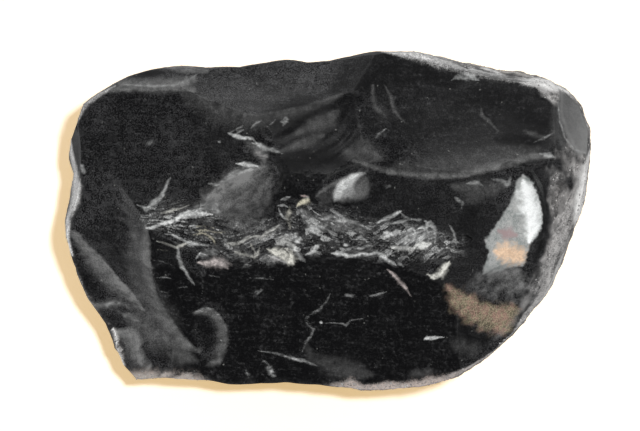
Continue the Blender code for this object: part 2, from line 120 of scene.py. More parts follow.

# pale marks of crushed flint, some of them painted glints where small edges catch the light: walked in plan
# with the half width at each point, strength, and tint from pink (-1) to straw (1)
CRUSHED_AND_GLINT_MARKS = [
    # left end of the band
    ([(-35.8, 2.6, .3), (-34.6, 2.2, .25), (-34.2, 1.6, .35), (-33, 2.8, .6), (-32, 3.6, .5),
     (-31.1, 4.4, .4), (-30.6, 5.6, .35), (-30.1, 7, .3), (-29.6, 7.8, .15)], .5, 0),
    ([(-31.5, 1, .15), (-30.4, 1.2, .3), (-29.2, 1.8, .3), (-27.6, 2, .15), (-26.2, 2.6, .3)], .42, .3),
    ([(-34.4, -1.7, .2), (-33, -1.7, .35), (-31.4, -.9, .3), (-29.4, -.5, .35), (-27.4, .6, .5),
     (-25.6, 1.1, .75), (-24.4, 1.2, .7), (-23, .9, .4), (-21.6, .8, .2)], .85, 0),
    ([(-27, 1, .4), (-24.5, 2, 1.0), (-22.4, 2.4, 1.5), (-20.6, 1.4, 1.1)], .34, 0),
    ([(-31, -2.7, .15), (-29.2, -3, .25), (-27.6, -3.7, .25), (-26, -4.6, .3), (-24.2, -4.9, .25),
     (-22.4, -5.1, .2)], .55, 0),
    ([(-32.2, -4.1, .2), (-30.4, -4.6, .25), (-28.6, -5.3, .3), (-27.6, -4.9, .35), (-26.4, -4.6, .2)],
     .55, .3),
    ([(-28.2, -5.4, .45), (-28.1, -7, .5), (-27.6, -8.6, .42), (-26.8, -10, .35), (-25.9, -11.4, .3),
     (-25.2, -12.4, .25)], .45, 0),
    ([(-32, -5.7, .15), (-30.4, -5.9, .15), (-29.2, -6.4, .12)], .22, .6),
    ([(-24.9, -7.4, .25), (-24.3, -6.6, .3), (-23.9, -6.1, .2)], .65, 0),
    ([(-24.6, -8.1, .4), (-23, -8.3, .7), (-21.2, -8.1, .95), (-19.8, -8.5, .9), (-19, -9.2, .45)],
     .66, -.6),
    ([(-23.6, -6.6, .6), (-21.6, -6.4, .7)], .22, 0),
    ([(-24.8, -1.4, .12), (-23, -1.3, .15), (-21.4, -1.7, .12)], .35, .8),
    ([(-25, -2.1, .15), (-23, -2, .18), (-21.6, -2.4, .15), (-19.4, -2.5, .12)], .42, .8),
    ([(-25.4, -3, .15), (-23.8, -2.6, .18), (-22.4, -3.1, .2), (-21.5, -4, .2), (-21.2, -5, .15)], .5, .8),
    # middle of the band
    ([(-18.8, -4.5, .5), (-17.4, -4.6, .4), (-16.2, -4.2, .3), (-15.4, -3.6, .3), (-14, -3.2, .25),
     (-12.6, -3.2, .3), (-11.6, -2.6, .35), (-10.4, -1.9, .35), (-9.2, -1.1, .3)], .52, .2),
    ([(-17.6, -6.1, .3), (-16.4, -6.5, .35), (-15, -6.7, .3), (-13.9, -7.2, .4), (-13.3, -6.4, .3),
     (-13, -5.2, .25)], .42, .3),
    ([(-14.6, -4.6, .25), (-14.3, -5.4, .25), (-13.8, -6.2, .2)], .42, .4),
    ([(-11.6, -5.6, .3), (-10.6, -5.9, .5), (-9.4, -6.3, .8), (-8.2, -6.9, 1), (-7.2, -7.6, 1),
     (-6.7, -8.4, .5)], .9, .35),
    ([(-11.4, -6.8, .25), (-9.6, -7.5, .35), (-8, -8.2, .35)], .6, -.2),
    ([(-9.6, -4.6, .5), (-8.6, -4, .6), (-7.6, -4.4, .5), (-6.8, -5, .5), (-6.3, -6, .4)], .5, .1),
    ([(-6.8, -3.6, .4), (-6.2, -2.8, .35), (-6, -4.2, .4), (-5.4, -3.6, .3), (-5, -3.9, .25)], .48, 0),
    ([(-6.2, -5.2, .4), (-5.8, -6.6, .4), (-5, -7.4, .5), (-4.4, -8, .35)], .36, 0),
    ([(-4.4, -6.7, .25), (-3.4, -6.2, .35), (-2.6, -5.7, .4), (-2.1, -5.2, .35), (-2.6, -4.8, .2)],
     .66, 0),
    ([(-4.6, -5.4, .2), (-3.6, -5.3, .2)], .4, 0),
    ([(-9.7, 2.5, .25), (-8.4, 2.6, .3), (-7.6, 2.2, .2)], .6, 0),
    ([(-9.4, 2, .25), (-9, 1, .25), (-8.4, .2, .2), (-7.6, -.2, .2)], .42, 0),
    ([(-7.3, 2.3, .4), (-7.4, 1.2, .5), (-7.9, .4, .4), (-7.5, -.8, .35), (-7.2, -1.8, .3)], .36, .5),
    ([(-9, 3.6, .3), (-8, 3.9, .35), (-7, 4.2, .2)], .42, 0),
    ([(-6, 2.4, .25), (-5.4, 2.9, .35), (-4.6, 3.3, .5), (-4, 3.6, .45), (-3.6, 3.6, .3)], .85, .8),
    ([(-5.4, 4.4, .25), (-4.6, 4.2, .3), (-3.9, 4.1, .25)], .5, -1),
    ([(-5.2, 1.6, .6), (-4.4, .8, .8), (-4, -.4, .8), (-3.4, -1.6, 1), (-2, -2, .9), (-.6, -1.2, .8)],
     .34, 0),
    ([(-1.6, -.2, .3), (0, .4, .5), (1.6, .7, .4), (3.2, .6, .2)], .34, 0),
    ([(.6, -.4, .5), (3, -.2, .4), (5, -.8, .35), (6.8, -1.6, .35), (8, -2.2, .2)], .3, 0),
    ([(-.4, -1.8, .35), (.6, -3, .4), (1.4, -4.2, .3), (2, -4.8, .2)], .26, 0),
    # right end of the band
    ([(8.9, -.9, .15), (9.6, -.4, .3), (10.4, 0, .4), (11.4, .5, .4), (12.6, 1.1, .35), (13.6, 1.6, .2)],
     .6, 0),
    ([(11.4, -.9, .25), (12.2, -.7, .3), (13.4, -.5, .35), (14.6, -.2, .3), (16, .1, .3)], .5, 0),
    ([(10.1, -2.4, .3), (10.8, -2.9, .6), (11.8, -2.8, .6), (12.8, -2.4, .4), (13.6, -2.1, .2)], .7, 0),
    ([(12.6, -4.6, .6), (14, -4, .9), (15.4, -3, 1.1), (17, -3.4, 1.5), (18.4, -3, 1.6), (19.4, -3.4, 1)],
     .46, 0),
    ([(16.2, -4.9, .6), (17.4, -4.9, .8), (18.8, -4.6, .7)], .95, .1),
    ([(17.4, -3.4, .5), (18.4, -1, .5), (19.4, -1.6, .4)], .6, 0),
    ([(11, -5.2, .5), (13, -5.4, .5), (15, -5.5, .4), (17, -5.4, .3)], .5, .1),
    ([(.4, -6.4, .3), (1.6, -6.4, .5), (2.4, -6.5, .45), (3.6, -6.9, .35), (5, -6.8, .3), (6.2, -6.4, .35),
     (7.4, -6.7, .3), (8.8, -6.2, .35), (9.8, -6.8, .4), (10.8, -7.6, .4), (11.8, -8.2, .4),
     (12.6, -8.6, .2)], .66, 0),
    ([(3, -4.9, .35), (3.2, -4.9, .35)], .9, 0),
    ([(2, -5.4, .4), (3.6, -5.6, .35), (4.6, -5.2, .3)], .42, 0),
    ([(5, -3.8, .4), (5.8, -3.4, .45), (6.6, -3.8, .3), (7, -4.2, .25)], .55, 0),
    ([(4.6, -5.6, .2), (6, -5.4, .3), (7.2, -5, .3), (8.2, -5.1, .25)], .42, 0),
    ([(13, -8.3, .3), (13.8, -8.8, .2)], .5, 0),
    ([(22.1, -.8, .1), (22.7, -1.6, .2), (23.2, -2.6, .25), (23.5, -3.8, .25), (23.7, -5, .22)], .4, 0),
    ([(18.2, -10.2, .25), (19, -10.7, .35), (20, -10.7, .5), (20.8, -10.1, .75), (21.4, -9.2, .7),
     (22, -8.4, .5), (22.4, -7.9, .2)], .95, .3),
    ([(10.8, -9.4, .25), (11.6, -10, .3), (12.4, -10.8, .4), (13.2, -11.8, .45), (14, -12.5, .4),
     (14.6, -13.4, .25), (15.4, -14.6, .12)], .62, -.7),
    ([(23.4, 4, .5), (24, 3.6, .4), (24.8, 3, .4), (24.6, 2, .3)], .3, 0),
    ([(25.6, 6.6, .4), (27.4, 6.8, .5), (28.6, 6.2, .3)], .4, 0),
    ([(30, 7.4, .4), (32, 7.2, .5), (33.4, 6.4, .5), (33.8, 7.8, .4)], .32, 0),
    ([(10.5, 6, .4), (11.4, 6.1, .3)], .22, 0),
    # around the ripples
    ([(-18.8, 16, .3), (-17.4, 15.5, .4), (-16.2, 15.1, .35), (-14.2, 14.9, .3), (-13.6, 14.2, .25)],
     .56, 0),
    ([(-18.6, 16.2, .2), (-17.2, 16.7, .25), (-16, 17.4, .2)], .34, 0),
    ([(-17, 16.2, .35), (-16, 16.6, .2)], .36, 0),
    ([(-14.6, 17, .3), (-13.6, 17.8, .4), (-12.6, 18.4, .3)], .3, 0),
    ([(-11.6, 17.2, .2), (-10.6, 17.8, .2), (-10, 18.6, .15)], .36, 0),
    ([(-9, 18.2, .6), (-8, 18.4, .6), (-8.6, 17.4, .4)], .34, 0),
    ([(-14.4, 14.2, .2), (-12.8, 13.7, .45), (-11.6, 13, .5), (-10.4, 12.8, .4), (-8.6, 12.1, .3)],
     .48, 0),
    ([(-13.2, 12.2, .7), (-12, 11.4, .7)], .26, -.2),
    ([(-17.4, 10.3, .2), (-16, 10.3, .35), (-14.6, 10, .45), (-13.2, 9.8, .3)], .85, 0),
    ([(-21, 6.2, .4), (-19.2, 7.4, .6), (-17.6, 8.5, .7), (-16, 9, .6), (-14, 9.2, .3)], .36, 0),
    ([(-22.4, 6.6, .4), (-21, 6.3, .4), (-19.8, 6.9, .3)], .4, 0),
    ([(13.2, 1.3, .12), (14.1, .4, .3), (15.2, 0, .2), (16.4, -.2, .4), (17.4, -.1, .25)], .42, 0),
    ([(17.6, -.3, .2), (18.8, -.7, .45), (19.5, -1.6, .5), (19.8, -3, .3), (19.6, -4.4, .4)], .46, 0),
    ([(16.4, -1.8, .2), (17.4, -1.5, .35), (18.4, -2.4, .3)], .7, 0),
    ([(14.6, -2.2, .3), (15.6, -1.8, .35), (16.2, -2.6, .25)], .6, 0),
    # front face
    ([(17.8, -22.4, .3), (18.6, -22.3, .4), (20, -22.1, .3), (21.6, -22.1, .15)], .85, 0),
    ([(-1.6, -19.4, .22), (-1.4, -19.4, .22)], .95, 0),
    ([(-1, -19.5, .15), (1, -19.4, .15), (2.6, -19.6, .2), (3.2, -19.9, .3), (4, -19, .2),
     (6.4, -18.6, .2)], .34, 0),
    ([(.2, -14, .12), (-.4, -15.4, .25), (-1.8, -17, .3), (-3.6, -18, .3), (-4.4, -18.8, .25),
     (-4, -20, .2), (-2.8, -20.6, .3), (-3.4, -22, .3), (-4.4, -23.4, .3), (-5, -25, .3)], .22, 0),
    ([(-13.4, -24.8, .1), (-11, -25.1, .2), (-9, -25.5, .3), (-7.4, -26, .45), (-6, -26.5, .4),
     (-4.6, -26.7, .4), (-3.4, -27.3, .35), (-2.2, -27.7, .25)], .3, 0),
    ([(-8.4, -25.7, .2), (-6.6, -26.3, .25), (-5.4, -26.7, .3), (-4.2, -26.9, .2)], .55, 0),
    ([(-11.1, -28.2, .2), (-10.7, -28.8, .35), (-10.3, -29.2, .2)], .85, 0),
    ([(-23.9, -17.3, .15), (-23.7, -17.3, .15)], .6, 0),
    ([(-22.8, -16.8, .15), (-22.6, -16.8, .15)], .6, 0),
    ([(-21, -18, .15), (-20.8, -18, .15)], .5, 0),
    ([(-20.4, -22.8, .15), (-20.2, -22.9, .15)], .45, 0),
    ([(-12.2, -26.8, .2), (-11.4, -28, .6), (-10.8, -29, .6), (-9.8, -29.8, .3)], .4, 0),
    ([(-15.8, -28.6, .15), (-14.6, -30.2, .25)], .3, 0),
    ([(3.2, -14.3, .35), (4.4, -14.3, .4)], .34, 0),
    ([(7.6, -14.4, .25), (9, -14.2, .3), (10.8, -13.6, .25)], .32, 0),
    ([(-13.6, -13.8, .4), (-12.6, -13.3, .3)], .24, 0),
    ([(-15, -11, .15), (-12.6, -11.1, .22), (-10.4, -11.4, .15)], .22, 0),
    ([(-22.6, -10.5, .12), (-20.4, -10.9, .15)], .17, 0),
    ([(-24, -8.8, .12), (-23.6, -12, .15), (-23.9, -15, .12)], .16, 0),
    ([(-33.4, -7.6, .12), (-31, -8, .18), (-29.4, -8.6, .12)], .2, 0),
    ([(-32.2, -11, .2), (-30.8, -10.9, .2), (-29.4, -11.2, .15)], .28, 0),
    ([(-28.4, -12.9, .15), (-26.6, -12.7, .15)], .2, 0),
    ([(-31.6, -13.6, .2), (-30.2, -13.8, .15)], .2, 0),
    ([(-25, -17.4, .4), (-23.6, -16.7, .4), (-21.6, -16.9, .3)], .28, 0),
    # bowl
    ([(10.6, 16.8, .25), (9.4, 15.8, .35), (8.6, 15, .3)], .26, 0),
    ([(23, 26, .3), (24.4, 26.8, .7), (25.6, 26.9, .9), (27, 26.4, .6), (28, 26, .3)], .42, 0),
    ([(39.2, 12.2, .5), (41, 11.8, .6), (42, 11.4, .3)], .4, 0),
    ([(38, 14.2, .2), (40, 15, .35), (42, 16.2, .2)], .2, 0),
    ([(43.2, 24.4, .2), (42.8, 21.6, .2), (43.1, 18.2, .22), (44.1, 15.2, .22), (45.8, 13, .25),
     (48.2, 12.2, .2)], .3, 0),
    # left wall
    ([(-34.2, 14, .5), (-33.2, 14.4, .6)], .16, 0),
    ([(-38.5, 25.2, .3), (-33, 24.9, .3), (-29, 25, .35), (-26.4, 26, .4), (-24.6, 27.2, .25)], .22, 0),
    ([(-20.6, 14.4, .25), (-20.4, 14.4, .25)], .5, 0),
    ([(-46.4, 10, .4), (-45.8, 8.8, .4)], .4, 0),
    ([(-31, 28.6, .4), (-28, 28.9, .5), (-25, 28.3, .3)], .34, -.8),
    ([(-43.6, -16.2, .3), (-41, -15.8, .25), (-38, -15.9, .2), (-35.6, -16.6, .3)], .3, 0),
    ([(-42.8, -16.4, .3), (-41, -16.8, .35), (-39.5, -17.7, .4), (-37.4, -18.8, .4), (-35.6, -19.4, .3)],
     .26, 0),
    ([(-47, 9.5, .3), (-46.2, 10, .3), (-46.4, 8.8, .4)], .4, 0),
]
# painted sheen, soft grey: walked in plan with the half width at each point, strength
SHEEN_MARKS = [
    ([(-36.4, -3, 1.6), (-36, -8, 1.7), (-35.4, -12, 2), (-34.4, -15.6, 2.4), (-32, -19.4, 2.6),
     (-28.6, -22.4, 2)], .2),
    ([(-15.2, 14.2, .9), (-12.8, 12.6, 1.1), (-12, 11, .8)], .3),
    ([(-37.6, -18.4, 1.2), (-35, -20, 2), (-31, -22, 2), (-27.4, -24, 1.4)], .34),
    ([(-42, 25, .5), (-38, 25.2, .9), (-32, 25, 1), (-28, 25.2, 1.1), (-25.4, 26.2, 1.2)], .46),
    ([(-31, 28.6, .5), (-27.6, 28.4, .8), (-23, 27.8, .8)], .5),
    ([(-9, 12.6, .4), (-6, 13.8, .8), (-3, 14.8, .8), (-1, 15.6, .5)], .22),
    ([(-6, 15.9, .8), (-3, 17.2, 1.2), (0, 18.6, 1.2), (1.6, 20, .8)], .22),
    ([(3, 12.4, 1), (6.4, 12, 2), (9.6, 11.4, 1.2)], .2),
    ([(12, 9.6, 1.2), (18, 9.4, 1.6), (26, 10.2, 1.8), (34, 11.8, 1.6), (39, 13, 1)], .13),
    ([(8.2, 25, .2), (8.1, 23.6, .28), (8.3, 22, .3), (8.8, 20.6, .36), (9.8, 19.8, .3), (10.6, 19.2, .2)],
     .24),
    ([(10.4, 25, .2), (11.6, 22.6, .28), (12, 20.6, .3), (13, 19.2, .24), (14.2, 18, .2)], .2),
    ([(8.6, 21.4, 1.2), (10.4, 19.6, 1.2)], .06),
    ([(28.4, 20.8, .2), (28.6, 19.4, .32), (30, 18.2, .28), (31.6, 16.4, .2)], .22),
    ([(36, 16.6, .3), (38.4, 15.6, .4), (40.4, 15.2, .3)], .2),
    ([(-4.4, -23, .4), (-3.4, -26, .7), (.4, -27.6, 1.4), (4, -28.6, 1.7), (8, -29.4, .8)], .17),
    ([(24, -23.4, 1), (26.6, -24.4, 1.2)], .13),
    ([(-30, -25.4, 1), (-27.6, -25.8, 1.5), (-25.4, -26.6, 1)], .26),
    ([(42, 21, .5), (42.4, 18, .9), (42.8, 15, 1), (44, 13, .8)], .16),
    ([(29, -8.8, .7), (31, -9.2, 1.3), (33.6, -9.8, 1.2), (35.6, -9.6, .7)], .42),
    ([(33, -12.4, .6), (35.6, -12.2, .8), (37.4, -12.8, .5)], .3),
    ([(23, 6, 1), (27, 5.4, 1.8), (32, 6, 1.6)], .19),
    ([(-3.4, .2, .8), (-1, -.6, 1.2), (2, -.8, 1.3), (5, -1.8, .9), (7.4, -2.4, .5)], .3),
    ([(15.6, -29.2, .6), (19, -28.6, .5)], .18),
    ([(36.6, -15.4, .6), (34.6, -19.2, .7), (31, -22.6, .6)], .4),
]
# painted sheen: sharp along a line, fading to its left; walked in plan with the reach at each point, strength
SHEEN_FADES = [
    ([(-34.8, -17.2, .7), (-36, -15.4, 1.8), (-37.3, -13.6, 2.8), (-39.6, -11.2, 4), (-43.2, -6.9, 4),
     (-47.5, -2.7, 1.4)], .7),
    ([(-34.8, -17.2, .6), (-36, -15.4, 1.4), (-37.3, -13.6, 2), (-39.6, -11.2, 2), (-42, -8.4, .8)], 1.0),
    ([(-24.6, -24.8, .6), (-27, -22.6, 3.4), (-30, -18.4, 4.2), (-32.4, -14.2, 3.4), (-33.3, -9.9, 3.2),
     (-33.6, -5.2, 3), (-33.9, -1.5, 1)], .56),
    ([(-32.8, -27.2, .8), (-34, -25.8, 2), (-34.9, -23.8, 3.4), (-35.8, -21.4, 4.4), (-37.8, -20.4, 4),
     (-40.6, -21, 1.4)], .85),
    ([(-22.4, -27.7, 1), (-20.6, -27, 1.8), (-19.6, -25.2, 2.4), (-19.1, -22.6, 2.7), (-19.4, -20, 2.6),
     (-20.6, -17.9, 2.3), (-22.4, -16.8, 2), (-25, -17.3, 1)], .54),
    ([(-45, 23.3, .8), (-40, 23.9, 2.2), (-34, 24, 2.6), (-28, 24.1, 2.8), (-25.6, 23.8, 1.2)], .42),
    ([(4.4, 10.8, .4), (6.9, 9.9, 1), (11, 8.5, 1.3), (15.2, 7.9, 1.3), (21.3, 7.6, 1.5), (25.8, 7.9, 2.1),
     (29.6, 8.9, 2.4), (33.7, 9.7, 2.4), (37.8, 11.2, 2), (41.1, 11.4, .8)], .46),
    ([(-12.2, 9.9, .8), (-15, 9.2, 2.6), (-18, 7.9, 3.6), (-21, 5.8, 3), (-22.6, 4.2, 1)], .62),
    ([(-44.8, -16.4, .5), (-42.5, -16.6, 1.4), (-41, -16.2, 1.6), (-39.5, -16.1, 1.4), (-37.6, -16.8, .5)],
     .5),
    ([(2, 23.3, 1), (-5, 20.9, 2.4), (-13.7, 19.3, 4.4), (-19, 20.6, 5), (-24.8, 23.2, 4)], .19),
    ([(6.6, 8.6, .3), (4.2, 8.3, .7), (2, 7.4, .8), (0, 6.3, .8), (-1.6, 5.2, .7), (-2.5, 4.2, .4)], .45),
]
# where the painted highlight of the white wedge is brightest: walked like the painted sheen above
WEDGE_LIGHT = [(6.8, 8.7, .5), (4.2, 8.3, 2.4), (2.6, 7.6, 3.2), (1.4, 6.4, 3.6), (0.8, 5, 3),
               (.9, 3.2, 1.6)]
# painted shade, blacker and duller flint: walked in plan with the half width at each point, how much
SHADE_MARKS = [
    ([(6, 25, 3), (12, 27, 3.6), (20, 27.4, 3.2), (28, 24, 3), (36, 20.6, 3.4), (41, 17, 2.4)], .7),
    ([(8, 18, 3), (20, 18.6, 4), (28, 18, 4), (38, 17, 3)], .4),
    ([(30, 19, 4), (36, 18, 4), (40, 17, 2)], .45),
    ([(31, 14.9, 1), (33.6, 14.8, 1.3), (36.4, 14.6, 1.4), (39, 14.2, .9)], .8),
    ([(-14, 18, 1), (-10, 18.4, 2), (-6, 20, 2.4), (-3.4, 20, 2.6), (-3, 17, 1)], .7),
    ([(-4, 10.6, 1.6), (-1, 12, 2), (3, 9.6, 1)], .5),
    ([(-25, 19, 1.5), (-23, 14, 2.4), (-20, 10, 1.6)], .35),
    ([(-46, -2.4, .8), (-42.4, -3.6, 1.8), (-40, -6.6, 2), (-38, -9.6, 1.3)], .5),
    ([(-47.6, -8.4, 1), (-45.6, -12, 1.5), (-43.4, -14.4, 1)], .6),
    ([(-42.5, -18.2, .8), (-40.6, -19.4, 1.1), (-38, -20, .7)], .6),
    ([(-35, -24, .6), (-32.4, -25, 1.6), (-30, -26, 1.4)], .4),
    ([(-37, 26.6, .6), (-34, 27.3, 1), (-31, 27.6, .6)], .8),
    ([(40, 6, .6), (40.4, 1, .7), (39.8, -3.6, .8), (38.4, -8, .8)], .7),
    ([(26.4, -5, 1.2), (25.4, -1, 2), (27, 2.4, 1.6)], .5),
    ([(-24.4, -19, .8), (-23, -21, 1.8), (-22.6, -24, 1.6)], .6),
    ([(25, -18.6, 1.6), (26.2, -22.6, 2.6), (29.4, -22.6, 2)], .8),
    ([(-9, 10.8, 1.4), (-5, 11, 2.2), (1, 11, 1.8)], .8),
    ([(37.6, 13, 1.6), (40, 19, 2.4)], .6),
    ([(41.6, 12.4, 1), (44.6, 11.8, 1.5), (47.4, 10.8, 1)], .7),
    ([(.6, 23.6, 1.2), (4.4, 27, 2.2), (7.4, 29.6, 1.6)], .5),
    ([(-22, 17, 1.4), (-19.6, 14, 2), (-18, 12, 1.4)], .5),
    ([(-9, 7.4, 1), (-7, 9.6, 1.6), (-4.6, 8.4, 1.2)], .7),
]
# painted reflection on the rims, as white chalk: walked in plan with the half width at each point, strength
WHITE_RIMS = [
    ([(10, 31.4, .5), (16, 30.8, 1.1), (20, 30.2, 1.5), (25, 29.2, 1.7), (30, 28, 1.5), (36, 27.2, 1.6),
     (41, 25.6, 1.5), (45, 23.9, .9)], .72),
    ([(-48.8, 16, .3), (-48.6, 12.6, .5), (-47.9, 9, .7), (-47.5, 6, 1.1), (-48, 3, 1), (-49.1, .4, .6),
     (-49.2, -4, .45), (-48, -8, .35)], .85),
    ([(-47.4, 17.6, .3), (-46.6, 19.8, .5), (-45.4, 21.7, .5), (-43, 23.3, .5), (-40, 25, .3)], .6),
    ([(-40.8, -20.8, .3), (-40.2, -22.6, .5), (-39.4, -24.4, .5), (-38.3, -26, .5), (-37, -27.3, .3)],
     .85),
    ([(-48.6, -7.6, .3), (-46.7, -12.6, .35), (-43.8, -17.2, .35), (-41.6, -20, .3)], .45),
    ([(49, 13, .6), (48.4, 8, 1.3), (47.4, 3, 1.4), (46.2, -1.4, .9)], .66),
    ([(44.8, -5, .5), (42.6, -10.4, .5), (39.6, -15.6, .4)], .5),
]
# thin cracks: walked in plan, depth
CRACKS = [
    ([(0.2, -14), (-0.4, -15.4), (-1.8, -17), (-3.6, -18), (-4.4, -18.8), (-4, -20), (-3.4, -22),
     (-5, -25)], 0.16),
    ([(9.6, 26), (10.8, 24.8), (11.6, 22.6), (12, 20.6), (13, 19.2), (14.2, 18)], 0.14),
    ([(28.4, 20.6), (28.8, 19.4), (30, 18.2), (31.4, 16.6)], 0.14),
]
# painted highlight on a facet: outline, then white edge, blush and tan band with the half width at each point
HIGHLIGHT_FACET = [(36, 8.3), (37, 8), (38, 6.9), (38.6, 5.6), (39.2, 4), (39.7, 2), (39.8, -1), (39.2, -2.4),
              (38.2, -4), (37.5, -5.2), (37, -6.4), (36.8, -8), (36, -8.8), (34.6, -9), (32, -9.8),
              (30, -10.8), (28.4, -10.6), (28.6, -9), (29.5, -7.6), (29.6, -6), (28.7, -4), (29.4, -3.2),
              (30.6, -1.6), (32, .4), (33.4, 2.8), (34.4, 5), (35, 7.4)]
HIGHLIGHT_EDGE = [(36.2, 7.2, .9), (36.9, 5, 1.5), (37.6, 2.4, 1.9), (38.2, 0, 1.6), (37.8, -2.4, 1.2),
              (37.2, -4.2, .7)]
HIGHLIGHT_BLUSH = [(31.6, -2.2, .7), (33, -2.7, 1.1), (34.8, -3, .9)]
HIGHLIGHT_TAN = [(30.8, -6, .9), (33, -6.2, 1.7), (35.2, -6.8, 1.6), (36.2, -7.6, .8)]
# outlines in plan of the other patches; wedges, grey scar, cup and lens carry painted highlight and sheen
CUP = [(28, -10.6), (30, -10.8), (34, -9.6), (36.4, -10), (38.2, -12.6), (36.6, -15.2), (33, -15.4),
       (29.4, -14.4), (26.6, -12.4)]
WARM_FACE = [(22, -12.6), (24, -13.4), (27, -14.6), (30, -15.8), (33, -16.4), (35, -16.6), (35.2, -17.2),
             (34.6, -19.4), (33.6, -20.8), (31.6, -21.4), (29, -20.6), (26, -19), (24, -17.4),
             (22.4, -15.2)]
WEDGE_HIGHLIGHT = [(1, 3.4), (0.8, 5.2), (1.4, 6.4), (2.6, 7.6), (4.2, 8.3), (6, 8.8), (6.6, 8.5), (5.2, 7.6),
               (4.6, 6.4), (4.8, 5), (4, 4.2), (2.6, 4)]
WEDGE_SHEEN = [(-2.6, 4), (-1.8, 5.2), (0, 6.3), (2.6, 7.6), (6, 8.8), (7.4, 7.4), (7.6, 5.4), (6.8, 3.8),
              (4, 3.2), (1, 3), (-1.4, 2.8)]
SCAR_SHEEN = [(-23.4, 4.2), (-21, 6.4), (-18, 8.2), (-15, 9.6), (-12, 9.8), (-10.8, 7), (-11.4, 3),
             (-12.4, 0), (-14, -2), (-18, -2.2), (-20, 0), (-21.6, 2)]
LENS = [(43.2, 24.4), (46.2, 23.4), (49.6, 18), (49.6, 12), (46.4, 12.2), (44.2, 16), (43.0, 20)]
MOTTLED_END = [(40, 10), (43.5, 9), (46.4, 3), (45.2, -5), (41.4, -12), (36.4, -17.4), (35.4, -15.6),
               (39.4, -9), (40.9, -1), (40.4, 6)]
# painted shade of each face: how strongly its flint is mottled, 0 is plain black
FACE_SHADE = {"front": 0.1, "band": 0.35, "hollow": 0.45, "rippled": 0.25, "by ripples": 0.55, "bowl": 0.5,
             "upper left": 0.8, "wall": 1.2, "wall low": 1.2, "left corner": 1.2, "bevel left": 1.3,
             "bevel middle": 1.2}
# and how much of it is flecked
FACE_FLECKS = {"front": 1.0, "bowl": 0.65}
PLAIN_FLECKS = 0.3
# how deep the chalky skin reaches in
RIND = {"all round": 0.12, "flanks": 0.9, "right end": 2.4, "back right": 1.1, "front": 1.8,
        "front left": 1.1}
WANDER = 7                         # how far the marks may wander down the flanks
DOT_SPACING = 1.7                  # between the small pale dots in the flint
# what the corners of the stone are made of, and the light and shade painted on them, as its material reads it
MARKS = ("cortex", "white_rim", "depth", "low", "buff", "painted_shade", "dull", "flecks", "bloom_and_sheen", "lens", "scar",
         "cup", "band", "across", "ridge_glint", "crushed", "tint", "wedge", "pale", "white", "stain", "blush",
         "warm")


# ---- settings --------------------------------------------------------------------------------------------
def a_length(name, text, millimetres):
    """A setting that is a length."""
    return FloatProperty(name=name, description=text, default=millimetres * MM, unit="LENGTH", precision=5)


def a_share(name, text, value):
    """A setting between 0 and 1."""
    return FloatProperty(name=name, description=text, default=value, subtype="FACTOR", min=0, soft_max=1)


def a_colour(name, text, value):
    """A setting that is a colour."""
    return FloatVectorProperty(name=name, description=text, default=value, subtype="COLOR", size=3,
                               min=0, max=1)


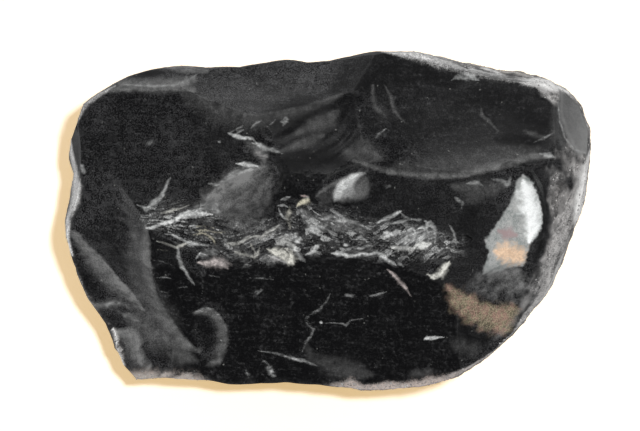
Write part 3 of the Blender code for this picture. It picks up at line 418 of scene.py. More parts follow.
class FlintStoneSettings(bpy.types.PropertyGroup):
    """Facets, relief and colours of the stone, with its painted light and shade"""
    facet_top: a_length("Top facet", "Mesh edge on the broken top", 0.48)
    facet_band: a_length("Band facet", "Mesh edge in the crushed band and at small marks", 0.24)
    facet_flank: a_length("Flank facet", "Mesh edge on the flanks", 1.0)
    facet_base: a_length("Base facet", "Mesh edge on the resting face", 4.0)
    swell: a_length("Swell", "Depth of the broad unevenness of the scars", 0.16)
    ripple: a_length("Ripple", "Height of the ripples that spread over the scars", 0.045)
    rough_band: a_length("Crushed relief", "Relief of the crushed band", 0.22)
    rough_cortex: a_length("Cortex relief", "Relief of the chalky skin", 0.26)
    hackles: IntProperty(name="Hackle chips", description="Small chips of the crushed band", default=120,
                         min=0)
    seed: IntProperty(name="Seed", description="Start of every random draw", default=11)
    flint: a_colour("Flint", "Black flint", (0.0010, 0.0010, 0.0012))
    flint_mottle: a_colour("Flint, mottled", "Paler clouds and grains in the flint", (0.050, 0.050, 0.051))
    flint_dots: a_colour("Flint, dots", "Small pale dots in the flint", (0.30, 0.30, 0.28))
    # grey of the painted sheen on the top scars and of the patina on the flanks
    patina_and_sheen: a_colour("Haze", "Grey bloom on weathered scars", (0.20, 0.20, 0.197))
    crushed: a_colour("Crushed flint", "Crushed flint in the hackles", (0.732, 0.743, 0.732))
    crushed_straw: a_colour("Crushed flint, straw", "Yellowish crushed flint", (0.66, 0.61, 0.44))
    crushed_pink: a_colour("Crushed flint, pink", "Pinkish crushed flint", (0.62, 0.50, 0.47))
    # colours of the painted highlight on the facet at the right end: white edge, greys, blush and tan band
    pale: a_colour("Pale facet", "Fresh pale facet, bright edge", (0.95, 0.97, 0.96))
    highlight_grey: a_colour("Pale facet, grey", "Darker grey of the pale facet", (0.15, 0.175, 0.17))
    highlight_light: a_colour("Pale facet, light grey", "Lighter grey of the pale facet", (0.45, 0.45, 0.44))
    highlight_blush: a_colour("Pale facet, blush", "Reddish patch on the pale facet", (0.32, 0.24, 0.24))
    highlight_tan: a_colour("Pale facet, stain", "Tan stain across the pale facet", (0.82, 0.60, 0.42))
    highlight_tan_dark: a_colour("Pale facet, dark stain", "Darker grains of the tan stain", (0.52, 0.34, 0.22))
    warm: a_colour("Warm break", "Brown grainy break", (0.36, 0.31, 0.205))
    warm_red: a_colour("Warm break, reddish", "Redder grains of the warm break", (0.34, 0.22, 0.17))
    cortex: a_colour("Cortex", "Chalky skin", (0.42, 0.41, 0.40))
    cortex_dark: a_colour("Cortex, worn", "Skin worn down to the flint", (0.05, 0.05, 0.05))
    cortex_low: a_colour("Cortex, flanks", "Chalky skin of the flanks", (0.60, 0.565, 0.51))
    cortex_low_dark: a_colour("Cortex, worn flanks", "Worn skin of the flanks", (0.22, 0.205, 0.185))
    cortex_stain: a_colour("Cortex, stained", "Brown stain in the skin", (0.34, 0.29, 0.26))
    cortex_buff: a_colour("Cortex, buff", "Buff skin along the front", (0.50, 0.42, 0.38))
    # white of the painted reflection along the rims
    cortex_white: a_colour("Cortex, bleached", "Bleached chalk along the edges", (0.86, 0.855, 0.84))


class CortexGrainSettings(bpy.types.PropertyGroup):
    """Loose chalk grains on the skin"""
    per_area: FloatProperty(name="Grains per square metre",
                            description="How thickly the cortex is set with grains", default=9.0e5, min=0)
    size: a_length("Grain size", "Radius of an average grain", 0.16)
    flatness: a_share("Flatness", "Height of a grain as a share of its width", 0.55)
    seed: IntProperty(name="Seed", description="Start of the scatter", default=5)


class StageSettings(bpy.types.PropertyGroup):
    """Paper and camera"""
    paper: a_colour("Paper", "White paper under the stone", (0.85, 0.85, 0.85))
    paper_glow: a_colour("Paper glow", "Warm light that the paper keeps in the stone's shadow",
                         (0.58, 0.38, 0.13))
    frame_width: a_length("Picture width", "Width of the stone's picture at the level of its top", 119.9)
    off_x: a_length("Picture centre, along", "Where the camera looks, along X", -1.686)
    off_y: a_length("Picture centre, across", "Where the camera looks, along Y", 0.656)


# ---- noise and marks -------------------------------------------------------------------------------------
class Noise:
    """Smooth seeded noise between about -1 and 1."""

    def __init__(self, seed):
        rng = np.random.default_rng(seed)
        self.turn = rng.permutation(256)
        slope = rng.normal(size=(256, 3))
        self.slope = slope / np.linalg.norm(slope, axis=1)[:, None]

    def at(self, p, size):
        q = p / size
        cell = np.floor(q).astype(int)
        f = q - cell
        ease = f * f * f * (f * (f * 6 - 15) + 10)
        total = np.zeros(len(p))
        for corner in itertools.product((0, 1), repeat=3):
            c = cell + corner
            key = self.turn[(self.turn[(self.turn[c[:, 0] & 255] + c[:, 1]) & 255] + c[:, 2]) & 255]
            weight = np.where(corner, ease, 1 - ease).prod(-1)
            total += weight * ((f - corner) * self.slope[key]).sum(-1)
        return total * 1.6

    def layers(self, p, size, count, fade=0.5):
        return sum(self.at(p, size / 2 ** k) * fade ** k for k in range(count))

    def ridges(self, p, size, count=1):
        """Noise with sharp crests, 0 in the hollows and 1 on the crests."""
        return sum((1 - np.abs(self.at(p, size / 2 ** k)) * 2.2) * 0.5 ** k for k in range(count))


def smooth(x, low, high):
    """0 below low, 1 above high, smooth between."""
    t = np.clip((x - low) / (high - low), 0, 1)
    return t * t * (3 - 2 * t)


def off_line(p, line):
    """Distance in plan from points to a walked line."""
    best = np.full(len(p), 1e9)
    for a, b in zip(line, line[1:]):
        a, b = np.array(a, float), np.array(b, float)
        t = np.clip(((p[:, :2] - a) @ (b - a)) / ((b - a) @ (b - a)), 0, 1)
        best = np.minimum(best, np.linalg.norm(p[:, :2] - a - t[:, None] * (b - a), axis=1))
    return best


def mark(p, line, wander=None):
    """1 along the middle of a mark, 0 outside it; walked in plan with the half width at each point."""
    pts = np.array(line, float)
    if len(pts) > 2:
        pts[[0, -1], 2] *= 0.45
    wide = pts[:, 2].max() * 2.2 + 0.3
    low, high = pts[:, :2].min(0) - wide, pts[:, :2].max(0) + wide
    rows = np.flatnonzero(((p[:, :2] > low) & (p[:, :2] < high)).all(1))
    q = p[rows, :2]
    share = np.full(len(rows), 9.0)
    for a, b in zip(pts, pts[1:]):
        run = b[:2] - a[:2]
        t = np.clip((q - a[:2]) @ run / max(run @ run, 1e-9), 0, 1)
        half = a[2] + (b[2] - a[2]) * t
        share = np.minimum(share, np.linalg.norm(q - a[:2] - t[:, None] * run, axis=1) / half)
    if wander is not None:
        share = share + wander[rows]
    out = np.zeros(len(p))
    out[rows] = smooth(-share, -2.0, -0.1)
    return out


def strongest(p, table, wander=None):
    """The strongest mark of a table at each point."""
    out = np.zeros(len(p))
    for line, strength in table:
        out = np.maximum(out, mark(p, line, wander) * strength)
    return out


def fade_from(p, line):
    """1 just left of a line walked in plan with a reach at each point, fading to 0 over that reach."""
    best, reach, signed = np.full(len(p), 1e9), np.ones(len(p)), np.zeros(len(p))
    q = p[:, :2]
    for a, b in zip(np.array(line, float), np.array(line[1:], float)):
        run = b[:2] - a[:2]
        t = np.clip((q - a[:2]) @ run / (run @ run), 0, 1)
        far = np.linalg.norm(q - a[:2] - t[:, None] * run, axis=1)
        nearer = far < best
        left = run[0] * (q[:, 1] - a[1]) > run[1] * (q[:, 0] - a[0])
        best = np.where(nearer, far, best)
        reach = np.where(nearer, a[2] + (b[2] - a[2]) * t, reach)
        signed = np.where(nearer, np.where(left, far, -far), signed)
    return smooth(signed, -0.3, 0.15) * (1 - smooth(best / reach, 0.1, 1.0))


def inside(p, outline):
    """Distance in plan inside an outline, negative outside."""
    ring = outline + outline[:1]
    x, y = p[:, 0], p[:, 1]
    odd = np.zeros(len(p), bool)
    for (ax, ay), (bx, by) in zip(ring, ring[1:]):
        crosses = (ay > y) != (by > y)
        odd ^= crosses & (x < ax + (y - ay) * (bx - ax) / ((by - ay) or 1e-9))
    return np.where(odd, 1, -1) * off_line(p, ring)


# ---- surfaces --------------------------------------------------------------------------------------------
def direction(azimuth, tilt):
    """Unit vector leaning `tilt` degrees from straight up towards `azimuth`."""
    a, t = math.radians(azimuth), math.radians(tilt)
    return np.array([math.cos(a) * math.sin(t), math.sin(a) * math.sin(t), math.cos(t)])


def axes(normal, heading):
    """Rows: along the heading, across it, out of the stone."""
    h = np.array([math.cos(math.radians(heading)), math.sin(math.radians(heading)), 0.0])
    along = h - normal * (h @ normal)
    along = along / np.linalg.norm(along)
    return np.stack([along, np.cross(normal, along), normal])


class Hollow:
    """Stone outside an ellipsoid: the hollow a flake leaves behind."""

    def __init__(self, centre, rows, semi):
        self.centre = np.array(centre, float)
        self.rows = rows
        self.scale = 1.0 / np.array(semi, float)
        self.size = float(min(semi))
        self.span = float(max(semi))

    def reach(self, start, way):
        o = ((start - self.centre) @ self.rows.T) * self.scale
        d = (way @ self.rows.T) * self.scale
        a = (d * d).sum(-1)
        b = (o * d).sum(-1)
        c = (o * o).sum(-1) - 1.0
        disc = b * b - a * c
        near = (-b - np.sqrt(np.maximum(disc, 0.0))) / a
        return np.where((disc > 0) & (near > 0), near, 1e9)

    def level(self, p):
        q = ((p - self.centre) @ self.rows.T) * self.scale
        return (np.sqrt((q * q).sum(-1)) - 1.0) * self.size


class Skin:
    """The cortex: the plan at the widest level, closed by a steep dome above and a keel below."""

    def __init__(self):
        pts = np.array(PLAN, float)
        angle = np.arctan2(pts[:, 1], pts[:, 0])
        order = np.argsort(angle)
        radius = np.hypot(pts[:, 0], pts[:, 1])[order]
        angle = angle[order]
        self.angle = np.concatenate([angle - 2 * np.pi, angle, angle + 2 * np.pi])
        self.radius = np.tile(radius, 3)

    def level(self, p):
        x, y, z = p[..., 0], p[..., 1], p[..., 2]
        turn = np.arctan2(y, x)
        off = (z - WIDEST_Z) / SKIN_LUMP_REACH
        lump = np.sin(3 * turn + 0.16 * z) + 0.6 * np.sin(7 * turn - 0.23 * z + 1.0)
        swell = 1.0 + SKIN_LUMP * lump * np.clip(np.abs(off), 0, 1)
        part = np.hypot(x, y) / (np.interp(turn, self.angle, self.radius) * swell)
        up = np.clip((z - WIDEST_Z) / (DOME_Z - WIDEST_Z), 0, None)
        down = np.clip((WIDEST_Z - z) / UNDER, 0, None)
        fill = part ** SKIN_SHOULDER + up ** SKIN_DOME + down ** SKIN_KEEL
        return (1.0 - fill) * 20.0

    def reach(self, start, way):
        near = np.zeros(len(way))
        far = np.full(len(way), 90.0)
        for _ in range(22):
            middle = (near + far) / 2
            within = self.level(start + way * middle[:, None]) > 0
            near = np.where(within, middle, near)
            far = np.where(within, far, middle)
        return far


class Floor:
    """The flat fracture the stone rests on."""

    def reach(self, start, way):
        fall = -way[:, 2]
        return np.where(fall > 1e-9, start[..., 2] / np.maximum(fall, 1e-9), 1e9)

    def level(self, p):
        return p[..., 2]


def arris_scar(a, b, c, radius):
    """Flake scar whose ball of the given radius touches three corners of the stone."""
    a, b, c = (np.array(v, float) for v in (a, b, c))
    normal = np.cross(b - a, c - a)
    normal = normal / np.linalg.norm(normal)
    if normal @ ((a + b + c) / 3 - HEART) < 0:
        normal = -normal
    ab, ac = b - a, c - a
    x = np.cross(ab, ac)
    middle = a + (np.cross(x, ab) * (ac @ ac) + np.cross(ac, x) * (ab @ ab)) / (2 * (x @ x))
    ring = np.linalg.norm(middle - a)
    lift = math.sqrt(max(radius * radius - ring * ring, 1.0))
    return Hollow(middle + normal * lift, axes(normal, 0), (radius,) * 3)


def laid_scar(at, azimuth, tilt, radius, across=None, heading=0):
    """Flake scar through a point of the surface, leaning to an azimuth; may be narrower across."""
    normal = direction(azimuth, tilt)
    side = math.sqrt((across or radius) * radius)
    centre = np.array(at, float) + normal * radius
    return Hollow(centre, axes(normal, heading), (radius, side, radius))


BIG = {
    "skin": Skin(),
    "floor": Floor(),
    "front": arris_scar((-33, -8, 28.2), (14, -8.5, 33.4), (4, -30, 21), 220),
    "bowl": arris_scar(LIP_MIDDLE, (5, 24, 32), (40, 24, 29.3), 60),
    "hollow": arris_scar(LIP_LEFT, (40, 11, 35), (6, -8, 34.3), 160),
    "band": arris_scar((-34, -1, 30), CRUSH_RIGHT, (-4, 5, 34.6), 300),
    "rippled": arris_scar(BAND_FOOT, (6, 27, 32), LIP_LEFT, 70),
    "by ripples": arris_scar(BAND_LEFT, BAND_FOOT, (-20, 5, 32.8), 120),
    "upper left": arris_scar(BACK_CORNER, BAND_LEFT, CRUSH_LEFT, 160),
    "bevel left": laid_scar((-35, 26, 25), 100, 50, 60),
    "bevel middle": laid_scar((-11, 24, 27.8), 98, 38, 60),
    "wall": laid_scar((-34.6, -3, 29.2), 197, 44, 150, across=20, heading=-76),
    "wall low": laid_scar((-30.6, -16.5, 23.9), 220, 50, 90, across=24, heading=-56),
    "left corner": laid_scar((-36, -25, 17.5), 232, 48, 30),
    "lens": laid_scar((46.3, 17, 27), 22, 50, 90),
    "warm": laid_scar((29, -17, 28.5), 318, 36, 70),
    "shoulder": laid_scar((43, -2, 29), 352, 44, 70),
    "left end": laid_scar((-47.5, 8, 22), 176, 74, 40),
    "left under": laid_scar((-41, 8, 5), 178, 128, 70),
    "left front under": laid_scar((-34.5, -19.5, 6), 226, 122, 60),
    "front under": laid_scar((-8, -23.5, 5), 266, 130, 80),
    "front right": laid_scar((13, -29.4, 12.5), 284, 103, 48),
    "right under": laid_scar((30, -17, 4), 314, 130, 70),
    "back left under": laid_scar((-29, 23, 6), 112, 122, 60),
    "back left": laid_scar((-14, 27.7, 12.5), 98, 96, 50),
    "back under": laid_scar((8, 24.5, 5), 84, 124, 70),
    "back right under": laid_scar((36, 17, 4.5), 42, 130, 80),
    "back right": laid_scar((28, 28.2, 21), 76, 77, 60),
}
NAMES = list(BIG)
# ripples of a scar: where the blow fell, spacing, strength
RIPPLES = {
    "front": ((-60, -14, 30), 3.1, 0.8),
    "bowl": ((24, 34, 30), 3.6, 0.8),
    "hollow": ((50, 2, 34), 3.4, 0.5),
    "rippled": ((-16, 34, 30), 2.3, 2.6),
    "by ripples": ((-26, 30, 30), 3.0, 0.6),
    "upper left": ((-58, 20, 26), 4.2, 0.5),
    "bevel left": ((-50, 26, 22), 2.6, 1.0),
    "bevel middle": ((-30, 30, 26), 2.8, 1.3),
    "wall": ((-36, 6, 30), 2.2, 1.2),
    "wall low": ((-26, -24, 22), 2.2, 1.2),
    "left corner": ((-30, -30, 18), 1.8, 1.0),
    "warm": ((40, -8, 26), 1.9, 0.5),
    "left under": ((-50, 0, 16), 3.0, 1.0),
    "left front under": ((-44, -20, 18), 3.2, 1.2),
    "front under": ((-8, -34, 16), 3.6, 1.2),
    "front right": ((14, -34, 22), 3.0, 1.0),
    "right under": ((40, -18, 16), 3.4, 1.0),
    "back left under": ((-38, 30, 16), 3.2, 1.2),
    "back left": ((-14, 32, 24), 3.0, 1.2),
    "back under": ((10, 34, 18), 3.6, 1.2),
    "back right under": ((44, 22, 14), 3.6, 1.0),
    "back right": ((28, 32, 26), 2.8, 1.0),
}


def meet_big(start, way):
    """Nearest and next surface on each line: distances and which they are."""
    best, next_best = np.full(len(way), 1e9), np.full(len(way), 1e9)
    met, next_met = np.zeros(len(way), int), np.zeros(len(way), int)
    for i, surface in enumerate(BIG.values()):
        take(i, surface.reach(start, way), slice(None), best, met, next_best, next_met)
    return best, met, next_best, next_met


def take(i, reach, rows, best, met, next_best, next_met):
    """Enter surface i into the two nearest of each line."""
    b, m, nb, nm = best[rows], met[rows], next_best[rows], next_met[rows]
    nearer, second = reach < b, reach < nb
    next_best[rows] = np.where(nearer, b, np.where(second, reach, nb))
    next_met[rows] = np.where(nearer, m, np.where(second, i, nm))
    best[rows] = np.where(nearer, reach, b)
    met[rows] = np.where(nearer, i, m)


def height_at(x, y):
    """Height of the top at a plan place, before it is chipped."""
    start = np.array([[x, y, WIDEST_Z]])
    return meet_big(start, np.array([[0.0, 0.0, 1.0]]))[0][0] + WIDEST_Z


def chip(at, half_length, half_width, depth, heading, lean=None, dip=12):
    """Small shell-shaped scar at a plan position; the heading is that of its length."""
    step = 0.4
    x, y = at
    normal = np.array([height_at(x - step, y) - height_at(x + step, y),
                       height_at(x, y - step) - height_at(x, y + step), 2 * step])
    normal = normal / np.linalg.norm(normal)
    if lean is not None:
        normal = direction(*lean)
    along, side, normal = axes(normal, heading)
    cos, sin = math.cos(math.radians(dip)), math.sin(math.radians(dip))
    along, normal = along * cos - normal * sin, normal * cos + along * sin
    raised = 0.6                   # the middle of the ellipsoid is this share of its depth above the stone
    rim = math.sqrt(1 - raised * raised)
    semi = (half_length / rim, half_width / rim, depth / (1 - raised))
    centre = np.array([x, y, height_at(x, y)]) + normal * (raised * semi[2])
    return Hollow(centre, np.stack([along, side, normal]), semi)


def placed_chips():
    """The chips that are set one by one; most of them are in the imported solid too."""
    return [
        chip((-22.2, -22.0), 5.8, 3.0, 0.6, 84, dip=3),
        chip((-16.8, 4), 7.5, 5.0, 1.2, 35, lean=(120, 20), dip=0),
        chip((2.0, 5.6), 5.2, 2.4, 0.9, 35, lean=(100, 22), dip=0),
        chip((35.0, 0.0), 10.0, 4.7, 1.6, 108, lean=(20, 22), dip=0),
        chip((31.5, -11.8), 5.4, 3.2, 0.6, 20, dip=0),
        chip((-30.5, 1.2), 5.4, 1.5, 0.55, 12),
        chip((-26.5, -6.0), 4.8, 1.7, 0.6, -62),
        chip((-21.8, -6.8), 3.6, 2.4, 0.8, 10),
        chip((-13.5, -5.6), 5.0, 1.9, 0.7, -14),
        chip((-7.6, 0.6), 2.8, 3.4, 0.9, 20),
        chip((3.0, -1.6), 4.0, 1.9, 0.6, -8),
        chip((4.8, -5.6), 5.4, 1.6, 0.6, 4),
        chip((13.8, -2.6), 5.8, 2.8, 0.9, -20),
        chip((20.0, -9.2), 2.8, 1.7, 0.6, 38),
        chip((25.6, 26.2), 2.6, 1.6, 0.3, 30, dip=0),
    ]


def band_place(x):
    """Middle line of the crushed band and its half width, across the stone."""
    return np.interp(x, BAND_X, BAND_Y), np.interp(x, BAND_X, BAND_HALF)


def hackle_chips(count, seed):
    """Small splintery chips that fill the crushed band, fanning out at its left."""
    rng = np.random.default_rng(seed)
    out = []
    for _ in range(count):
        x = rng.uniform(*HACKLE_SPAN)
        middle, half = band_place(x)
        y = middle + rng.uniform(-0.9, 0.9) * half
        if x < FAN_TO:
            heading = math.degrees(math.atan2(y - FAN[1], x - FAN[0])) * 1.5 + rng.normal() * 8
        else:
            heading = rng.normal() * 16 - 4
        width = rng.uniform(0.4, 1.1)
        out.append(chip((x, y), width * rng.uniform(1.6, 3.4), width, width * rng.uniform(0.2, 0.36), heading,
                        dip=rng.uniform(4, 16)))
    return out


def nibbles(p, tris, gap, seed):
    """Tiny chips bitten out of the arrises of a coarse stone."""
    rng = np.random.default_rng(seed)
    normal = corner_normals(p, tris)
    out = []
    near_arris, off_the_paper = gap < 0.35, p[:, 2] > 2.5
    for i in np.flatnonzero(near_arris & off_the_paper):
        if rng.uniform() > (NIBBLE_SHARE_TOP if p[i, 2] > 19 else NIBBLE_SHARE):
            continue
        width = rng.uniform(0.3, 1.0) * (1.0 if p[i, 2] > 20 else 1.5)
        semi = np.array((width * rng.uniform(0.9, 1.8), width, width * rng.uniform(0.35, 0.6)))
        at = p[i] + rng.normal(size=3) * 0.2 + normal[i] * semi[2] * rng.uniform(0.45, 0.75)
        out.append(Hollow(at, axes(normal[i], rng.uniform(0, 360)), semi * 1.25))
    return out


class Stone:
    """All surfaces of the stone, and where lines out of its core meet them."""

    def __init__(self, chips):
        self.chips = chips
        self.all = list(BIG.values()) + chips

    def meet(self, start, way):
        best, met, next_best, next_met = meet_big(start, way)
        hit = start + way * best[:, None]
        for i, c in enumerate(self.chips):
            rows = np.flatnonzero(((hit - c.centre) ** 2).sum(1) < (c.span * 1.1 + 0.6) ** 2)
            if len(rows):
                take(i + len(BIG), c.reach(start[rows], way[rows]), rows, best, met, next_best, next_met)
        return best, met, next_best, next_met

    def surface(self, g):
        """Point of the stone for each egg point, its surface, the next surface and how far off that is."""
        start, way = lines_out(g)
        best, met, next_best, next_met = self.meet(start, way)
        return start + way * best[:, None], met, next_met, next_best - best


def on_the_egg(g):
    """Points put back on the egg that the facets are laid out on."""
    g = (g - HEART) / REACH
    return HEART + g / np.linalg.norm(g, axis=1)[:, None] * REACH


def lines_out(g):
    """Start and way of the line that leaves the core and passes through each point of the egg."""
    start = HEART + (g - HEART) * CORE
    way = g - start
    return start, way / np.linalg.norm(way, axis=1)[:, None]


def egg_point_of(q):
    """The point of the egg whose line passes through q."""
    offset = q - HEART
    near, far = np.zeros(len(q)), np.full(len(q), 4.0)
    for _ in range(34):
        t = (near + far) / 2
        beyond = np.linalg.norm(offset / (CORE + t[:, None] * (1.0 - CORE)) / REACH, axis=1) > 1
        near = np.where(beyond, t, near)
        far = np.where(beyond, far, t)
    return HEART + offset / (CORE + t[:, None] * (1.0 - CORE))


# ---- the mesh --------------------------------------------------------------------------------------------
def starting_facets():
    """Even triangles over the egg."""
    bm = bmesh.new()
    bmesh.ops.create_icosphere(bm, subdivisions=4, radius=1.0)
    g = np.array([v.co for v in bm.verts], float) * REACH + HEART
    tris = np.array([[v.index for v in f.verts] for f in bm.faces])
    bm.free()
    return g, tris


def edges_of(tris, count):
    """Each edge once, as two columns, and which edges every triangle has."""
    ends = np.sort(tris[:, [[0, 1], [1, 2], [2, 0]]].reshape(-1, 2), axis=1)
    key, which = np.unique(ends[:, 0] * count + ends[:, 1], return_inverse=True)
    return np.stack([key // count, key % count], 1), which.reshape(-1, 3)


def split(g, tris, edges, of_tri, cut, where):
    """Cut the marked edges at a share of their length and divide the triangles on them."""
    fresh = np.full(len(edges), -1)
    fresh[cut] = len(g) + np.arange(cut.sum())
    a, b = g[edges[cut, 0]], g[edges[cut, 1]]
    g = np.concatenate([g, on_the_egg(a + (b - a) * where[cut][:, None])])
    mid = fresh[of_tri]
    count = (mid >= 0).sum(1)
    parts = [tris[count == 0]]
    whole = count == 3
    t, m = tris[whole], mid[whole]
    parts += [np.stack([t[:, 0], m[:, 0], m[:, 2]], 1), np.stack([m[:, 0], t[:, 1], m[:, 1]], 1),
              np.stack([m[:, 2], m[:, 1], t[:, 2]], 1), m]
    for turn in range(3):
        order = [turn, (turn + 1) % 3, (turn + 2) % 3]
        rows = (count == 1) & (mid[:, turn] >= 0)
        t, m = tris[rows][:, order], mid[rows, turn]
        parts += [np.stack([t[:, 0], m, t[:, 2]], 1), np.stack([m, t[:, 1], t[:, 2]], 1)]
        rows = (count == 2) & (mid[:, order[2]] < 0)
        t, m, n = tris[rows][:, order], mid[rows, order[0]], mid[rows, order[1]]
        parts.append(np.stack([m, t[:, 1], n], 1))
        short = np.linalg.norm(g[m] - g[t[:, 2]], axis=1) < np.linalg.norm(g[t[:, 0]] - g[n], axis=1)
        one = np.where(short[:, None], np.stack([t[:, 0], m, t[:, 2]], 1), np.stack([t[:, 0], m, n], 1))
        two = np.where(short[:, None], np.stack([m, n, t[:, 2]], 1), np.stack([t[:, 0], n, t[:, 2]], 1))
        parts += [one, two]
    return g, np.concatenate(parts)


def amid_neighbours(p, tris):
    """The middle of the neighbours of each corner."""
    edges, _ = edges_of(tris, len(p))
    number = np.bincount(edges.ravel(), minlength=len(p))[:, None]
    total = np.zeros_like(p)
    for k in range(3):
        total[:, k] = (np.bincount(edges[:, 0], p[edges[:, 1], k], len(p))
                       + np.bincount(edges[:, 1], p[edges[:, 0], k], len(p)))
    return total / number


def near_marks(p):
    """Whether each point lies on or next to a mark, a crack or the edge of a small patch."""
    near = np.zeros(len(p), bool)
    for line, _, _ in CRUSHED_AND_GLINT_MARKS:
        near |= mark(p, [(x, y, half + 0.35) for x, y, half in line]) > 0
    for line, _ in CRACKS:
        near |= mark(p, [(x, y, 0.6) for x, y in line]) > 0
    for outline in (HIGHLIGHT_FACET, WEDGE_HIGHLIGHT):
        near |= inside(p, outline) > -0.5
    return near


def facet_goal(p, top, band, flank, base):
    """Longest facet edge wanted at each point."""
    goal = np.full(len(p), flank)
    z = p[:, 2]
    up = z > TOP_Z
    goal[up] = top
    middle, half = band_place(p[:, 0])
    fine = up & (np.abs(p[:, 1] - middle) < half + 0.6) & (p[:, 0] > BAND_FROM) & (p[:, 0] < BAND_TO)
    goal[fine] = band
    rows = np.flatnonzero(up & ~fine)
    goal[rows[near_marks(p[rows])]] = band * 1.2
    goal[z < 0.02] = base
    return goal


def onto_arris(p, one, two, surfaces):
    """Nearest points where the two surfaces of each corner cross."""
    nudge = 0.005
    q = p.copy()
    rows_of = [np.flatnonzero((one == i) | (two == i)) for i in range(len(surfaces))]
    for _ in range(4):
        f = np.zeros((len(p), 2))
        slope = np.zeros((len(p), 2, 3))
        for i, s in enumerate(surfaces):
            rows = rows_of[i]
            if not len(rows):
                continue
            side = (two[rows] == i).astype(int)
            f[rows, side] = s.level(q[rows])
            for k in range(3):
                e = np.zeros(3)
                e[k] = nudge
                slope[rows, side, k] = (s.level(q[rows] + e) - s.level(q[rows] - e)) / (2 * nudge)
        square = np.einsum("nik,njk->nij", slope, slope) + np.eye(2) * 1e-6
        q = q - np.einsum("nik,ni->nk", slope, np.linalg.solve(square, f[..., None])[..., 0])
    return q


def draw_onto_arrises(g, tris, stone, goal):
    """Slide corners that lie close to an arris until they sit on it."""
    considered, slide, miss = 1.2, 0.42, 0.08
    p, one, two, gap = stone.surface(g)
    rows = np.flatnonzero(gap < considered * goal)
    q = onto_arris(p[rows], one[rows], two[rows], stone.all)
    near = np.linalg.norm(q - p[rows], axis=1) < slide * goal[rows]
    moved = egg_point_of(q)
    back = stone.surface(moved)[0]
    near &= np.linalg.norm(back - q, axis=1) < miss
    on_arris = np.zeros(len(g), bool)
    on_arris[rows[near]] = True
    before = g.copy()
    g = g.copy()
    g[rows[near]] = moved[near]
    for _ in range(4):
        p = stone.surface(g)[0]
        bad = np.unique(tris[folded(g, tris, p)])
        if not len(bad):
            break
        g[bad] = before[bad]
        on_arris[bad] = False
    return g, on_arris


def folded(g, tris, p):
    """Facets that do not face outwards."""
    _, way = lines_out(g)
    a, b, c = (p[tris[:, k]] for k in range(3))
    face = np.cross(b - a, c - a)
    return (face * way[tris].sum(1)).sum(1) < 0.02 * np.linalg.norm(face, axis=1)


def cut_along_arrises(g, tris, stone, on_arris):
    """Put a corner on the arris wherever an edge runs from one scar to another."""
    edges, of_tri = edges_of(tris, len(g))
    met = stone.surface(g)[1]
    cut = (met[edges[:, 0]] != met[edges[:, 1]]) & ~on_arris[edges[:, 0]] & ~on_arris[edges[:, 1]]
    a, b = g[edges[cut, 0]], g[edges[cut, 1]]
    label = met[edges[cut, 0]]
    low, high = np.zeros(len(a)), np.ones(len(a))
    for _ in range(9):
        mid = (low + high) / 2
        same = stone.surface(on_the_egg(a + (b - a) * mid[:, None]))[1] == label
        low = np.where(same, mid, low)
        high = np.where(same, high, mid)
    where = np.zeros(len(edges))
    where[cut] = np.clip((low + high) / 2, 0.08, 0.92)
    return split(g, tris, edges, of_tri, cut, where)


def corner_normals(p, tris):
    """Unit vector out of the stone at each corner."""
    a, b, c = (p[tris[:, k]] for k in range(3))
    face = np.cross(b - a, c - a)
    out = np.zeros_like(p)
    for k in range(3):
        for j in range(3):
            out[:, j] += np.bincount(tris[:, k], face[:, j], len(p))
    return out / np.linalg.norm(out, axis=1)[:, None]


def stone_facets(stone, sizes):
    """Corners, triangles, the surface each corner lies on and how near the next one is."""
    too_long = 1.4
    g, tris = starting_facets()
    for _ in range(9):
        p = stone.surface(g)[0]
        goal = facet_goal(p, *sizes)
        edges, of_tri = edges_of(tris, len(g))
        run = np.linalg.norm(p[edges[:, 0]] - p[edges[:, 1]], axis=1)
        cut = run > too_long * np.minimum(goal[edges[:, 0]], goal[edges[:, 1]])
        if not cut.any():
            break
        g, tris = split(g, tris, edges, of_tri, cut, np.full(len(edges), 0.5))
        g = on_the_egg(g * 0.5 + amid_neighbours(g, tris) * 0.5)
    p = stone.surface(g)[0]
    g, on_arris = draw_onto_arrises(g, tris, stone, facet_goal(p, *sizes))
    g, tris = cut_along_arrises(g, tris, stone, on_arris)
    p, met, next_met, gap = stone.surface(g)
    return p, tris, met, gap


# ---- what the surface is made of, and the light and shade painted on it ----------------------------------
class Region:
    """Shares, 0 to 1, of the parts of the stone that each corner belongs to."""

    def __init__(self, p):
        x, y, z = p.T
        self.up = smooth(z, 19, 22)
        self.low = 1 - smooth(z, WIDEST_Z - 5, WIDEST_Z - 2)
        self.right = smooth(x, 30, 46)
        front_left = smooth(x, -40, -36) * smooth(-x, 20, 26)
        self.front = smooth(-y, 22, 29) * np.maximum(smooth(x, -4, 4), front_left)
        self.back_right = smooth(x, 6, 20) * smooth(y, 20, 27)
        self.bare = np.clip(1 - smooth(x, 6, 24) - self.front - self.right, 0, 1)


def by_face(met, values, plain):
    """The value of the face that each corner lies on."""
    out = np.full(len(met), plain)
    for name, value in values.items():
        out[met == NAMES.index(name)] = value
    return out


